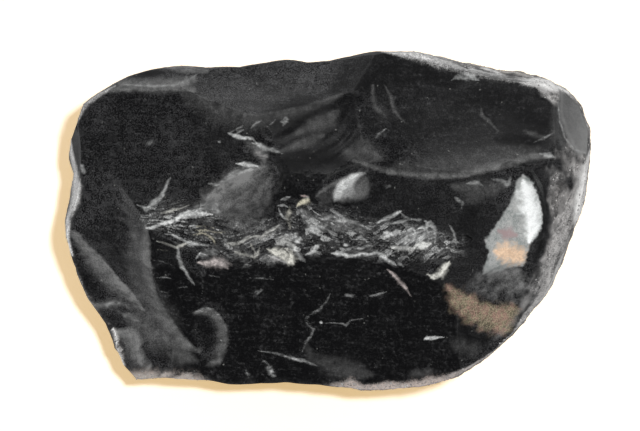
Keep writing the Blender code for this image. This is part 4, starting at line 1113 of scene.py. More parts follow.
def rind_depth(p, at, noise):
    """How deep the chalky skin reaches into the stone, in millimetres."""
    x, y, z = p.T
    flank = 1 - smooth(z, WIDEST_Z - 4, WIDEST_Z - 1) * at.bare
    rind = (RIND["all round"] + RIND["right end"] * at.right + RIND["front"] * at.front
            + RIND["back right"] * at.back_right + RIND["flanks"] * flank)
    rind += RIND["front left"] * smooth(-y, 25, 28) * smooth(x, -38, -35) * smooth(-x, 23, 27)
    rind *= 1 - 0.62 * smooth(x, 18, 23) * smooth(-x, -38, -31) * smooth(-y, 17, 21)
    rind *= 1 - 0.85 * at.up * (1 - np.clip(at.right + at.front + at.back_right, 0, 1))
    patches = np.clip(1.0 + 4.5 * noise.layers(p + 33, 8, 4, 0.6), 0, 4)
    return rind * (1 + 0.6 * noise.layers(p, 5, 3)) + at.low * patches


def cortex_cover(p, met, at, noise):
    """How much of each corner is chalky skin."""
    x, y, z = p.T
    rind = rind_depth(p, at, noise)
    depth = BIG["skin"].level(p)
    cover = smooth(-depth, -rind * (1 + 0.3 * at.front), -rind * (0.45 - 0.25 * at.front))
    cover = np.where(met == NAMES.index("skin"), 1.0, cover)
    # where the flank is bare the skin ends raggedly, and hardly any is left on the front left rim
    ragged = z + 1.6 * noise.layers(p + 15, 6, 3)
    cover = cover * (1 - at.bare * smooth(ragged, WIDEST_Z - 3.5, WIDEST_Z - 1))
    cover = np.where(met == NAMES.index("floor"), 0.0, cover)
    rim = smooth(z, WIDEST_Z - 1.5, WIDEST_Z + 0.5) * smooth(-y, 24, 26) * smooth(-x, 20, 26)
    cover *= 1 - rim * (0.06 + 0.45 * smooth(noise.layers(p + 12, 1.0, 3), -0.1, 0.3))
    # the right end of the top is mottled with what is left of it
    end = smooth(inside(p, MOTTLED_END) + noise.at(p, 2.5), -0.8, 1.2) * (z > 18)
    return np.maximum(cover, end * (0.52 + 0.38 * smooth(noise.layers(p + 60, 1.6, 2), -0.1, 0.3)))


def lens_cover(p, met, noise):
    """Where the lens of the right end lies, and its painted grey sheen, stronger to the right and at its
    edge.
    """
    x, y, z = p.T
    lens = smooth(inside(p, LENS) + 0.3 * noise.at(p, 1.5), -0.7, 0.5)
    lens *= np.where(met == NAMES.index("lens"), 1.0, smooth(z + noise.layers(p + 25, 2.5, 2), 24, 26))
    edge = smooth(-inside(p, LENS), -0.9, -0.3)
    return lens, lens * (0.5 + 0.55 * smooth(x - 0.25 * y, 38.5, 46.5) + 0.3 * edge)


def crushed_cover(p, rag):
    """How much of each corner is crushed flint and painted glint, and its tint."""
    crushed, tint = np.zeros(len(p)), np.zeros(len(p))
    for line, strength, shade in CRUSHED_AND_GLINT_MARKS:
        m = mark(p, line, rag) * (0.22 + 0.78 * strength)
        tint = np.where(m > crushed, shade, tint)
        crushed = np.maximum(crushed, m)
    return crushed * smooth(p[:, 2], 15.5, 18), tint


def band_cover(p):
    """How far each corner is within the crushed band."""
    middle, half = band_place(p[:, 0])
    ends = smooth(p[:, 0], -37, -33) * smooth(-p[:, 0], -26, -22)
    return smooth(-np.abs(p[:, 1] - middle), -half * 1.15, -half * 0.5) * ends


def wandering(p, noise):
    """Corners moved so that the marks wander down the back and right flanks instead of hanging straight."""
    x, y, z = p.T
    astray = np.column_stack([noise.layers(p + 70, 6, 3), noise.layers(p + 90, 6, 3), np.zeros(len(p))])
    flank = smooth(-z, -21, -15) * np.maximum(smooth(y, 14, 19), smooth(x, 42, 45))
    return p + WANDER * flank[:, None] * astray


def bloom_and_sheen_cover(p, q, at, rag, noise):
    """Painted grey sheen on the top scars, grey patina on the worn flanks; q are the wandering corners."""
    x, y, z = p.T
    # painted sheen: soft grey marks and grey fading from sharp lines
    bloom_and_sheen = strongest(q, SHEEN_MARKS, rag * 0.5)
    for line, strength in SHEEN_FADES:
        bloom_and_sheen = np.maximum(bloom_and_sheen, fade_from(q + rag[:, None] * 0.3, line) * strength)
    # painted sheen on the grey wedge, stronger at its right
    wedge = smooth(inside(p, WEDGE_SHEEN) + rag * 0.4, -0.4, 0.8)
    bloom_and_sheen = np.maximum(bloom_and_sheen, (0.10 + 0.28 * smooth(x, 0.6, 2)) * wedge)
    # grey patina low on the worn flanks
    flank = at.low * (0.12 + 0.5 * smooth(noise.layers(p + 44, 5, 4, 0.6), -0.3, 0.35))
    return np.maximum(bloom_and_sheen * smooth(z + 3 * noise.layers(p + 55, 5, 3), 9, 17), flank)


def white_rim_cover(p, q, rag, noise):
    """White rims of painted reflection, ending raggedly down the flanks; q are the wandering corners."""
    x, y, z = p.T
    foot = WIDEST_Z - 7 + 9 * smooth(x, -10, 10) - 4 * smooth(-x, 35, 38) * smooth(-y, 18, 21)
    down = smooth(z + 2 * rag + 2.5 * noise.layers(p + 55, 5, 3) - foot, 0, 3.5)
    return strongest(q, WHITE_RIMS, rag * 0.5) * down


def flint_painted_shade(p, met, at):
    """Painted shade: how strongly the flint is mottled, lighter low down, and how dull it is where it is
    blackest.
    """
    painted_shade = by_face(met, FACE_SHADE, 1.0) * (1 + 0.7 * at.low)
    # painted shade: blacker in the back of the bowl and in the hollows
    for line, amount in SHADE_MARKS:
        painted_shade *= 1 - amount * mark(p, line)
    return painted_shade, strongest(p, SHADE_MARKS) * at.up


def across_the_hackles(p, noise):
    """Distance across the hackles, which fan out at the left and bend with the band."""
    x, y, _ = p.T
    fan = (y - FAN[1]) * 25 / np.clip(x - FAN[0], 5, 25)
    bend = 0.2 * np.clip(x + 8, 0, 14) - 0.35 * np.clip(x + 18.8, 0, 10) - 0.6 * np.clip(x - 8, 0, 14)
    return fan + bend + 1.1 * noise.at(p, 6)


def masks(p, met, noise):
    """What each corner is made of: shares, depth, painted shade and tint, and its place across the hackles.
    """
    y = p[:, 1]
    at = Region(p)
    rag = 0.4 * noise.at(p, 1.0) + 0.3 * noise.at(p, 0.5)
    q = wandering(p, noise)
    lens, lens_sheen = lens_cover(p, met, noise)
    white_rim = white_rim_cover(p, q, rag, noise)
    crushed, tint = crushed_cover(p, rag)
    painted_shade, dull = flint_painted_shade(p, met, at)
    cortex = cortex_cover(p, met, at, noise) * (1 - lens) * (1 - 0.7 * dull)
    # painted highlight: the white wedge, brightest along its upper left edge
    wedge = smooth(inside(p, WEDGE_HIGHLIGHT) + rag * 0.5, -0.4, 0.5) * (0.3 + 0.7 * fade_from(p, WEDGE_LIGHT))
    # painted highlight on the facet, fading out towards the front
    pale = smooth(inside(p, HIGHLIGHT_FACET) + rag * 0.7, -0.3, 0.5) * (0.06 + 0.94 * smooth(y + rag, -12.2, -7.4))
    # painted sheen on the grey scar, stronger towards the back
    scar = smooth(inside(p, SCAR_SHEEN) + 2.5 * rag, -1.6, 1.0)
    scar *= 0.35 + 0.65 * smooth(y - 0.55 * p[:, 0], 6, 15)
    # painted grey sheen below the highlight on the facet
    cup = smooth(inside(p, CUP) + rag, -1.2, 1.0) * (1 - pale)
    warm = smooth(inside(p, WARM_FACE) + rag + 0.9 * noise.layers(p + 18, 1.8, 2), -1.0, 1.1)
    return {
        # the painted reflection along the rims is given as white chalk
        "cortex": np.maximum(cortex, white_rim * 0.8),
        "white_rim": white_rim,
        "depth": BIG["skin"].level(p),
        "low": smooth(noise.at(p, 4) - p[:, 2], -20.5, -14),
        "buff": at.front * (1 - 0.4 * smooth(-p[:, 0], 20, 26)) * (1 - 0.6 * smooth(p[:, 0], 20, 26)),
        # painted shade of each face
        "painted_shade": painted_shade,
        "dull": dull,
        "flecks": by_face(met, FACE_FLECKS, PLAIN_FLECKS),
        # painted grey sheen, with patina on the flanks
        "bloom_and_sheen": bloom_and_sheen_cover(p, q, at, rag, noise),
        # painted grey sheen of the lens
        "lens": lens_sheen,
        "scar": scar * at.up,
        "cup": cup * at.up,
        "band": band_cover(p) * at.up,
        "across": across_the_hackles(p, noise),
        "crushed": crushed,
        "tint": tint,
        # painted highlight of the white wedge
        "wedge": wedge * at.up,
        # painted highlight on the facet: its share, white edge, tan band and blush
        "pale": pale * at.up,
        "white": mark(p, HIGHLIGHT_EDGE, rag),
        "stain": mark(p, HIGHLIGHT_TAN, rag),
        "blush": mark(p, HIGHLIGHT_BLUSH, rag),
        "warm": warm * at.up,
    }


# ---- relief of the finished surface ----------------------------------------------------------------------
def ripple_waves(p, met, noise):
    """Ripples that spread over each scar from where it was struck, between -1 and 1 times their strength."""
    height = np.zeros(len(p))
    for name, (blow, spacing, strength) in RIPPLES.items():
        rows = np.flatnonzero(met == NAMES.index(name))
        q = p[rows]
        far = np.linalg.norm(q - np.array(blow), axis=1) + 0.7 * noise.at(q, 7)
        wave = np.sin(far * 2 * math.pi / spacing + 1.2 * noise.at(q + 50, 12))
        patchy = smooth(noise.at(q + 80, 9), -0.5, 0.6)
        height[rows] = strength * wave * patchy
    return height


def hackle_ridges(p, across, noise):
    """Ridges of the crushed band: they fan out at the left and run along it elsewhere."""
    x, y, z = p.T
    turn = np.arctan2(y - FAN[1], x - FAN[0])
    far = np.hypot(x - FAN[0], y - FAN[1])
    fanned = x < FAN_TO
    stretched = np.stack([np.where(fanned, far * 0.35, x * 0.4), np.where(fanned, turn * 16, y * 1.4), z], 1)
    flow = np.stack([x * 0.4, across * 1.3, z], 1)
    return 0.6 * (noise.ridges(stretched, 1.5, 2) - 0.9) + 0.9 * (noise.ridges(flow + 40, 1.1, 3) - 0.9)


def relief(p, met, gap, m, noise, s):
    """How far each corner stands off the plain surface, in millimetres."""
    z = p[:, 2]
    flint = 1 - m["cortex"]
    settle = smooth(gap, 0, 1.4)
    off = (s.swell / MM) * (noise.at(p, 9) + 0.45 * noise.at(p + 30, 3.4)) * settle * (0.4 + 0.6 * flint)
    off += (s.ripple / MM) * ripple_waves(p, met, noise) * settle * flint
    broken = np.maximum(m["band"], 0.8 * m["crushed"])
    off += (s.rough_band / MM) * broken * hackle_ridges(p, m["across"], noise) * (0.35 + 0.65 * settle)
    off += 0.12 * broken * noise.layers(p + 10, 0.9, 2)
    off += 0.05 * m["crushed"]
    for line, depth in CRACKS:
        gone = off_line(p, line) + 0.25 * noise.at(p, 1.6)
        off -= depth * smooth(-np.abs(gone), -0.42, -0.05) * (z > 19)
    chalk = noise.layers(p + 20, 4.5, 4, 0.55) + 0.5 * noise.ridges(p + 70, 3.0, 2) - 0.4
    off += (s.rough_cortex / MM) * m["cortex"] * chalk
    off += 0.05 * noise.layers(p + 5, 1.1, 2) * m["warm"]
    off += 0.02 * noise.at(p + 90, 1.2) * settle
    off[met == NAMES.index("floor")] = 0.0
    return off * smooth(z, 0.0, 0.8)


def fuller_corner(p):
    """How far the front left corner is pushed out beyond the plain solid, in millimetres."""
    x, y, z = p.T
    off = (x - FULLER_AT[0]) ** 2 + (y - FULLER_AT[1]) ** 2
    near = np.exp(-off / (2 * FULLER_SPREAD ** 2)) * smooth(z, 1, 9)
    return near[:, None] * np.array(FULLER_PUSH)


def float_attribute(mesh, name, values):
    """Keep a value of every corner on the mesh, for its material."""
    attribute = mesh.attributes.new(name, "FLOAT", "POINT")
    attribute.data.foreach_set("value", np.asarray(values, np.float32))


def mesh_of(name, corners, tris):
    """Mesh in metres from corners in millimetres."""
    mesh = bpy.data.meshes.new(name)
    mesh.vertices.add(len(corners))
    mesh.vertices.foreach_set("co", (corners * MM).astype(np.float32).ravel())
    mesh.loops.add(tris.size)
    mesh.loops.foreach_set("vertex_index", tris.astype(np.int32).ravel())
    mesh.polygons.add(len(tris))
    mesh.polygons.foreach_set("loop_start", np.arange(0, tris.size, 3, dtype=np.int32))
    mesh.update(calc_edges=True)
    mesh.validate()
    return mesh


def build_flint(s):
    """The finished stone; what each corner is made of, and how proud it stands, are kept as attributes."""
    noise = Noise(s.seed)
    placed = placed_chips()
    coarse, rough_tris, _, gap = stone_facets(Stone(placed), [COARSE_FACET] * 4)
    bites = nibbles(coarse, rough_tris, gap, s.seed + 2)
    stone = Stone(placed + hackle_chips(s.hackles, s.seed + 1) + bites)
    sizes = [v / MM for v in (s.facet_top, s.facet_band, s.facet_flank, s.facet_base)]
    p, tris, met, gap = stone_facets(stone, sizes)
    m = masks(p, met, noise)
    p = p + corner_normals(p, tris) * relief(p, met, gap, m, noise, s)[:, None] + fuller_corner(p)
    proud = ((p - amid_neighbours(p, tris)) * corner_normals(p, tris)).sum(1)
    mesh = mesh_of("flint_stone", p, tris)
    for name, values in m.items():
        float_attribute(mesh, name, values)
    # painted glint on the crests of the relief, where ridges catch the light
    float_attribute(mesh, "ridge_glint", smooth(proud, 0.01, 0.09))
    mesh.shade_smooth()
    mesh.set_sharp_from_angle(angle=math.radians(ARRIS_ANGLE))
    print("stone:", len(p), "corners", len(tris), "triangles", len(bites), "bites")
    return mesh


# ---- materials -------------------------------------------------------------------------------------------
# f is the material under construction, t its patterns, m the marks of the corners, s the settings
class Value:
    """A shader socket, or a plain number, with arithmetic."""

    def __init__(self, maker, socket):
        self.maker = maker
        self.socket = socket

    def _math(self, operation, other):
        return self.maker.node("ShaderNodeMath", {"operation": operation}, [self, other])

    def __add__(self, other): return self._math("ADD", other)
    def __radd__(self, other): return self._math("ADD", other)
    def __sub__(self, other): return self._math("SUBTRACT", other)
    def __rsub__(self, other): return Value(self.maker, other)._math("SUBTRACT", self)
    def __mul__(self, other): return self._math("MULTIPLY", other)
    def __rmul__(self, other): return self._math("MULTIPLY", other)

    def step(self, low, high):
        """0 below low, 1 above high, smooth between."""
        return self.maker.node("ShaderNodeMapRange", {"interpolation_type": "SMOOTHSTEP"},
                               [self, low, high, 0.0, 1.0])

    def clamp(self):
        return self.maker.node("ShaderNodeClamp", {}, [self, 0.0, 1.0])


class Finish:
    """A material under construction."""

    def __init__(self, name):
        self.material = bpy.data.materials.new(name)
        self.material.use_nodes = True
        self.tree = self.material.node_tree
        self.shader = next(n for n in self.tree.nodes if n.type == "BSDF_PRINCIPLED")

    def node(self, kind, settings, sockets, out=0):
        """Add a node: its type, settings, then the values or links of its sockets, by order or by name."""
        made = self.tree.nodes.new(kind)
        for key, value in settings.items():
            setattr(made, key, value)
        entries = sockets.items() if isinstance(sockets, dict) else enumerate(sockets)
        for key, value in entries:
            self.put(made.inputs[key], value)
        return Value(self, made.outputs[out])

    def put(self, socket, value):
        """Link a value into a socket, or set the socket to it."""
        if isinstance(value, Value):
            value = value.socket
        if isinstance(value, bpy.types.NodeSocket):
            self.tree.links.new(value, socket)
        elif isinstance(value, (tuple, list)) and len(value) == 3 and socket.type == "RGBA":
            socket.default_value = (*value, 1.0)
        else:
            socket.default_value = value

    def attribute(self, name):
        return self.node("ShaderNodeAttribute", {"attribute_name": name}, {}, out="Fac")

    def millimetres(self, shift=(0, 0, 0)):
        """Object coordinates in millimetres, shifted."""
        place = self.node("ShaderNodeTexCoord", {}, {}, out="Object")
        sockets = {"Vector": place, "Scale": (1 / MM,) * 3, "Location": shift}
        return self.node("ShaderNodeMapping", {}, sockets)

    def x_and_y(self, place):
        """The X and the Y of a place."""
        x = self.node("ShaderNodeSeparateXYZ", {}, {0: place}, out="X")
        return x, Value(self, x.socket.node.outputs["Y"])

    def noise(self, place, size, detail=2.0, rough=0.5):
        """Soft noise with spots of about the given size."""
        return self.node("ShaderNodeTexNoise", {}, {"Vector": place, "Scale": 1.0 / size, "Detail": detail,
                                                    "Roughness": rough})

    def join(self, *parts):
        """A place made of up to three values."""
        return self.node("ShaderNodeCombineXYZ", {}, list(parts))

    def mix(self, share, one, two):
        """Colour one where share is 0, colour two where it is 1."""
        return self.node("ShaderNodeMix", {"data_type": "RGBA"}, {0: share, 6: one, 7: two}, out=2)

    def bump(self, height, strength, distance):
        return self.node("ShaderNodeBump", {}, {"Height": height, "Strength": strength, "Distance": distance})

    def finish(self, **sockets):
        for name, value in sockets.items():
            self.put(self.shader.inputs[name.replace("_", " ")], value)
        return self.material


def scaled(rgb, factor):
    """A lighter or darker colour."""
    return tuple(min(c * factor, 1.0) for c in rgb)


class Patterns:
    """Noises that the colours of the stone share, by what they look like."""

    def __init__(self, f, across):
        self.place = f.millimetres()
        x, y = f.x_and_y(self.place)
        self.x, self.y = x, y
        self.broad = f.noise(self.place, 9.0, 3.0)
        self.clump = f.noise(self.place, 1.9, 3.0, 0.6)
        self.fine = f.noise(self.place, 0.62, 2.0, 0.6)
        self.grit = f.noise(self.place, 0.22, 1.0)
        self.other = f.noise(f.millimetres(shift=(7, 3, 5)), 0.5, 2.0, 0.6)
        self.hatch = f.noise(f.join(x * 0.42, across * 1.9), 1.0, 3.0, 0.62)
        self.slant = f.noise(f.join(x * 0.26 + y * 0.2, y * 1.0 - x * 0.78), 1.5, 3.0, 0.6)
        self.lengthwise = f.noise(f.join(x * 0.14, y * 1.1 + x * 0.06), 0.9, 3.0, 0.6)
        self.hiss = self.grit.step(0.33, 0.67)
        self.speckle = self.fine.step(0.3, 0.7) * 0.4 + self.hiss * 0.6
        run = f.join(x * 0.62 + self.clump * 0.8, across * 1.15)
        cells = f.node("ShaderNodeTexVoronoi", {}, {"Vector": run, "Scale": 1.0}, out="Color")
        self.splinter = f.node("ShaderNodeSeparateColor", {}, {0: cells}, out=0)


def flint_colour(f, t, m, s):
    """Black flint with paler clouds, flecks and a few dots."""
    clouds = (t.broad.step(0.35, 0.65) * 0.3 + t.clump.step(0.3, 0.7) * 0.3 + t.fine * 0.5
              + t.hiss * 0.95 - 0.87 + t.lengthwise.step(0.35, 0.7) * 0.25)
    flecks = (t.fine.step(0.42, 0.75) * (0.3 + 0.7 * t.hiss) * (0.2 + 0.8 * t.clump.step(0.38, 0.62))
              * (0.3 + 1.1 * t.lengthwise.step(0.38, 0.66)))
    # the grey clouds follow the painted shade of each face
    mottle = (clouds * m["painted_shade"] + flecks * m["flecks"] * 0.85).clamp()
    base = f.mix(mottle, tuple(s.flint), tuple(s.flint_mottle))
    far = f.node("ShaderNodeTexVoronoi", {}, {"Vector": t.place, "Scale": 1 / DOT_SPACING}, out="Distance")
    dots = (1 - far.step(0.06, 0.14)) * t.clump.step(0.46, 0.6) * t.grit.step(0.4, 0.6) * 0.5
    return f.mix(dots, base, tuple(s.flint_dots))


def patina_and_sheen_share(t, m):
    """How grey the flint is: painted sheen on scars, cup, lens and ridges, patina on flanks, band shards."""
    # painted sheen of the top scars, with the patina of the flanks
    bloom_and_sheen = m["bloom_and_sheen"] * 1.15 * (0.5 + 0.65 * t.clump.step(0.28, 0.66))
    scar = m["scar"] * (0.1 + 0.3 * t.slant.step(0.3, 0.72) + 0.28 * t.clump.step(0.3, 0.7))
    cup = m["cup"] * (0.05 + 0.5 * t.clump.step(0.3, 0.7))
    # the shards are stronger towards the middle of the band than at its left end
    cells = (0.14 + 0.24 * t.x.step(-26.0, -14.0)) * t.splinter.step(0.35, 1.0)
    shards = (0.22 * t.hatch.step(0.48, 0.74) + 0.15 * t.clump.step(0.42, 0.7)
              + cells * (0.45 + 0.65 * t.fine.step(0.35, 0.65)))
    grain = t.speckle * 0.7 + 0.65
    lens = m["lens"] * (0.7 + 0.25 * t.clump.step(0.2, 0.8) + 0.15 * t.speckle)
    return ((bloom_and_sheen + scar + cup + m["band"] * shards) * grain + lens + m["ridge_glint"] * 0.06).clamp()


def crushed_share(t, m):
    """How much is crushed flint and painted highlight: marks, band lines and ridge glints, white wedge."""
    ragged = (m["crushed"] * 1.5 - t.speckle * 0.4 - (1 - t.hatch.step(0.28, 0.66)) * 0.3).clamp()
    broken = (0.5 + 0.4 * t.other.step(0.34, 0.62) + 0.3 * t.hiss) * (0.62 + 0.62 * t.clump.step(0.38, 0.6))
    lines = (t.hatch.step(0.56, 0.68) * t.clump.step(0.45, 0.62) * t.grit.step(0.3, 0.6) * 0.62
             + t.splinter.step(0.8, 0.92) * t.speckle * 0.46 + m["ridge_glint"] * 0.45 * t.speckle)
    # painted highlight of the white wedge
    wedge = (0.4 + 0.4 * t.slant.step(0.3, 0.7) + 0.35 * t.clump.step(0.35, 0.65)) * (0.6 + 0.5 * t.speckle)
    return (ragged * (0.2 + 0.84 * m["crushed"]) * broken + m["band"] * lines + m["wedge"] * wedge).clamp()


def crushed_colour(f, m, s):
    """White of crushed flint and of painted glints and highlights, tinted towards straw or pink."""
    straw = f.mix(m["tint"].clamp(), tuple(s.crushed), tuple(s.crushed_straw))
    return f.mix((0 - m["tint"]).clamp(), straw, tuple(s.crushed_pink))


def highlight_colour(f, t, m, s):
    """Painted highlight on a facet: mottled grey with a blush, a tan band and a white edge."""
    light = (t.clump.step(0.3, 0.7) * 0.5 + t.speckle * 0.65 - 0.05).clamp()
    facet = f.mix(light, tuple(s.highlight_grey), tuple(s.highlight_light))
    facet = f.mix((m["blush"] * 1.2 - t.speckle * 0.4).clamp(), facet, tuple(s.highlight_blush))
    dark = t.other.step(0.4, 0.62) * 0.4 + t.hiss * 0.2
    stain = f.mix(dark, tuple(s.highlight_tan), tuple(s.highlight_tan_dark))
    facet = f.mix((m["stain"] * 1.3 - t.speckle * 0.45).clamp(), facet, stain)
    white = (m["white"] * 1.2 - t.speckle * 0.4 - (1 - t.slant.step(0.3, 0.6)) * 0.2).clamp()
    return f.mix(white, facet, tuple(s.pale))


def skin_colour(f, t, m, s):
    """The chalky skin: worn in fibres, stained brown and buff, with painted reflection white on the rims."""
    fibre = f.noise(f.join(m["depth"] * 1.6, t.y * 0.22, t.clump * 1.5), 1.1, 3.0, 0.6)
    kept = (fibre.step(0.36, 0.64) * 0.5 + t.speckle * 0.7 + t.clump.step(0.35, 0.65) * 0.35 - 0.3).clamp()
    worn = f.mix(m["low"], tuple(s.cortex_dark), tuple(s.cortex_low_dark))
    chalk = f.mix(kept, worn, f.mix(m["low"], tuple(s.cortex), tuple(s.cortex_low)))
    stain = t.broad.step(0.42, 0.62) * t.other.step(0.35, 0.6) * (0.1 + 0.6 * m["low"])
    chalk = f.mix(stain, chalk, tuple(s.cortex_stain))
    buff = m["buff"] * (0.1 + 0.5 * t.other.step(0.4, 0.6) + 0.6 * t.hiss)
    chalk = f.mix(buff, chalk, tuple(s.cortex_buff))
    return f.mix((m["white_rim"] * 1.5 - t.speckle * 0.5).clamp(), chalk, tuple(s.cortex_white))


def stone_material(s):
    """Everything the stone shows, laid over the black flint in the order in which it covers it."""
    f = Finish("black_flint")
    m = {name: f.attribute(name) for name in MARKS}
    t = Patterns(f, m["across"])
    patina_and_sheen = patina_and_sheen_share(t, m)
    crushed = crushed_share(t, m)
    # painted sheen and patina over the black flint
    base = f.mix(patina_and_sheen, flint_colour(f, t, m, s), tuple(s.patina_and_sheen))
    base = f.mix(crushed, base, crushed_colour(f, m, s))
    warm = m["warm"] * (0.12 + 0.55 * t.hiss + 0.3 * t.slant.step(0.3, 0.7) + 0.3 * t.clump.step(0.3, 0.7))
    sandy = f.mix((t.other * 0.5 + t.clump * 0.5).step(0.42, 0.58), tuple(s.warm), tuple(s.warm_red))
    base = f.mix(warm.clamp(), base, sandy)
    # the painted highlight on the facet
    base = f.mix((m["pale"] * 1.5 - t.speckle * 0.5).clamp(), base, highlight_colour(f, t, m, s))
    skin = (m["cortex"] * 1.6 - t.speckle * (0.5 + 0.3 * m["buff"])).clamp()
    base = f.mix(skin, base, skin_colour(f, t, m, s))
    rough = (0.22 + 0.10 * t.clump + 0.4 * m["dull"] + 0.25 * patina_and_sheen + 0.25 * crushed + 0.35 * m["warm"]
             + 0.12 * m["pale"] + m["cortex"] * 0.65).clamp()
    soft = m["cortex"] + m["warm"]
    grain = (t.fine * (0.02 + 0.05 * soft + 0.05 * m["band"])
             + t.grit * (0.010 + 0.035 * soft + 0.02 * m["band"])
             + t.hatch * (0.10 * m["band"]) + t.clump * 0.03 + t.lengthwise * 0.015)
    return f.finish(Base_Color=base, Roughness=rough, Normal=f.bump(grain, 1.0, MM))


def cortex_material(s):
    """Chalk of the loose grains, darker and lighter in spots."""
    f = Finish("cortex")
    place = f.millimetres()
    tint = f.noise(place, 1.6, 3.0).step(0.3, 0.7)
    grit = f.noise(place, 0.2, 1.0)
    base = f.mix(tint, scaled(s.cortex, 0.45), scaled(s.cortex, 1.25))
    return f.finish(Base_Color=base, Roughness=0.9, Normal=f.bump(grit, 0.6, 0.05 * MM))


# ---- cortex grains ---------------------------------------------------------------------------------------
def grain_tree(material):
    """Geometry nodes that set a surface with small flattened grains where it is cortex."""
    tree = bpy.data.node_groups.new("cortex_grains", "GeometryNodeTree")
    tree.interface.new_socket("Geometry", in_out="INPUT", socket_type="NodeSocketGeometry")
    for name in ("Grains per area", "Grain size", "Flatness"):
        tree.interface.new_socket(name, in_out="INPUT", socket_type="NodeSocketFloat")
    tree.interface.new_socket("Seed", in_out="INPUT", socket_type="NodeSocketInt")
    tree.interface.new_socket("Geometry", in_out="OUTPUT", socket_type="NodeSocketGeometry")

    def add(kind, settings=None, **links):
        made = tree.nodes.new(kind)
        for key, value in (settings or {}).items():
            setattr(made, key, value)
        for key, value in links.items():
            socket = next(i for i in made.inputs if i.enabled and i.name == key.replace("_", " "))
            if isinstance(value, bpy.types.NodeSocket):
                tree.links.new(value, socket)
            else:
                socket.default_value = value
        return made

    def times(one, two):
        made = add("ShaderNodeMath", {"operation": "MULTIPLY"})
        tree.links.new(one, made.inputs[0])
        tree.links.new(two, made.inputs[1])
        return made.outputs[0]

    def ramp(value, low, high):
        return add("ShaderNodeMapRange", None, Value=value, From_Min=low, From_Max=high).outputs["Result"]

    source = add("NodeGroupInput").outputs
    # grains sit only on firm cortex and clear of the paper
    cover = add("GeometryNodeInputNamedAttribute", {"data_type": "FLOAT"}, Name="cortex").outputs["Attribute"]
    place = add("GeometryNodeInputPosition").outputs["Position"]
    height = add("ShaderNodeSeparateXYZ", None, Vector=place).outputs["Z"]
    share = times(ramp(height, 1.5 * MM, 3 * MM), ramp(cover, 0.5, 0.95))
    thickness = times(share, source["Grains per area"])
    points = add("GeometryNodeDistributePointsOnFaces", {"distribute_method": "RANDOM"},
                 Mesh=source["Geometry"], Density=thickness, Seed=source["Seed"])
    # each grain is a small ball of its own size, pressed flat
    ball = add("GeometryNodeMeshIcoSphere", None, Radius=1.0, Subdivisions=1).outputs["Mesh"]
    uneven = add("FunctionNodeRandomValue", {"data_type": "FLOAT"}, Min=0.45, Max=1.5, Seed=source["Seed"])
    size = times(next(o for o in uneven.outputs if o.enabled), source["Grain size"])
    shape = add("ShaderNodeCombineXYZ", None, X=size, Y=size, Z=times(size, source["Flatness"]))
    placed = add("GeometryNodeInstanceOnPoints", None, Points=points.outputs["Points"], Instance=ball,
                 Rotation=points.outputs["Rotation"], Scale=shape.outputs[0])
    real = add("GeometryNodeRealizeInstances", None, Geometry=placed.outputs["Instances"])
    done = add("GeometryNodeSetMaterial", None, Geometry=real.outputs["Geometry"], Material=material)
    tree.links.new(done.outputs["Geometry"], add("NodeGroupOutput").inputs[0])
    return tree


def grown_mesh(carrier, tree, inputs):
    """Run a geometry tree on a copy of the carrier and give back its plain mesh."""
    helper = bpy.data.objects.new("grain_carrier", carrier.data.copy())
    bpy.context.scene.collection.objects.link(helper)
    modifier = helper.modifiers.new("grains", "NODES")
    modifier.node_group = tree
    for item in tree.interface.items_tree:
        if item.in_out == "INPUT" and item.name in inputs:
            modifier[item.identifier] = inputs[item.name]
    graph = bpy.context.evaluated_depsgraph_get()
    mesh = bpy.data.meshes.new_from_object(helper.evaluated_get(graph))
    bpy.data.objects.remove(helper)
    return mesh


# ---- stage -----------------------------------------------------------------------------------------------
# lamps: name, azimuth, zenith, then distance, width and height in metres, radiance
HIDDEN_LAMPS = [("key", 32, 10, 1.5, 0.09, 0.09, 760)]
HIDDEN_LAMPS += [("side_fill", azimuth, 84, 1.1, 0.9, 0.15, 8.0) for azimuth in (40, 130, 220, 310)]
MIRRORED_LAMPS = [
    ("overhead", 0, 0, 1.0, 0.5, 0.5, 0.2),
    ("back_sky", 95, 50, 0.9, 0.75, 0.32, 0.95),
    ("back_low", 95, 82, 1.1, 0.9, 0.30, 1.3),
    ("left_fill", 195, 84, 1.0, 0.5, 0.30, 1.1),
    ("right_sky", 20, 45, 0.9, 0.25, 0.25, 0.7),
]
MIDDLE_Z = 20.0                    # the lamps are aimed at this height above the paper
PICTURE_Z = 26.0                   # the width of the picture is measured at this height
FOCAL = 300.0
SENSOR = 36.0
PAPER_HALF = 1.6                   # metres
PAPER_Z = -0.00005                 # the paper lies just below the resting face, the card below the paper
CARD_Z = -0.0004


def softbox(name, azimuth, zenith, distance, width, height, radiance):
    """Rectangular lamp aimed at the middle of the stone."""
    data = bpy.data.lights.new(name, "AREA")
    data.shape = "RECTANGLE"
    data.size = width
    data.size_y = height
    data.energy = radiance * math.pi * width * height
    lamp = bpy.data.objects.new(name, data)
    away = Vector(direction(azimuth, zenith))
    lamp.location = Vector((0, 0, MIDDLE_Z * MM)) + away * distance
    lamp.rotation_euler = away.to_track_quat("Z", "Y").to_euler()
    bpy.context.scene.collection.objects.link(lamp)
    return lamp


def paper_material(s):
    """White paper that keeps a warm glow in the stone's shadow."""
    f = Finish("warm_paper")
    return f.finish(Base_Color=tuple(s.paper), Roughness=0.95, Emission_Color=tuple(s.paper_glow),
                    Emission_Strength=1.0)


def card_material():
    """Plain glow for the card that only the stone's gloss mirrors, in place of the paper."""
    f = Finish("card")
    return f.finish(Base_Color=(0.0, 0.0, 0.0), Roughness=1.0, Emission_Color=(0.97, 0.98, 1.0),
                    Emission_Strength=0.22)


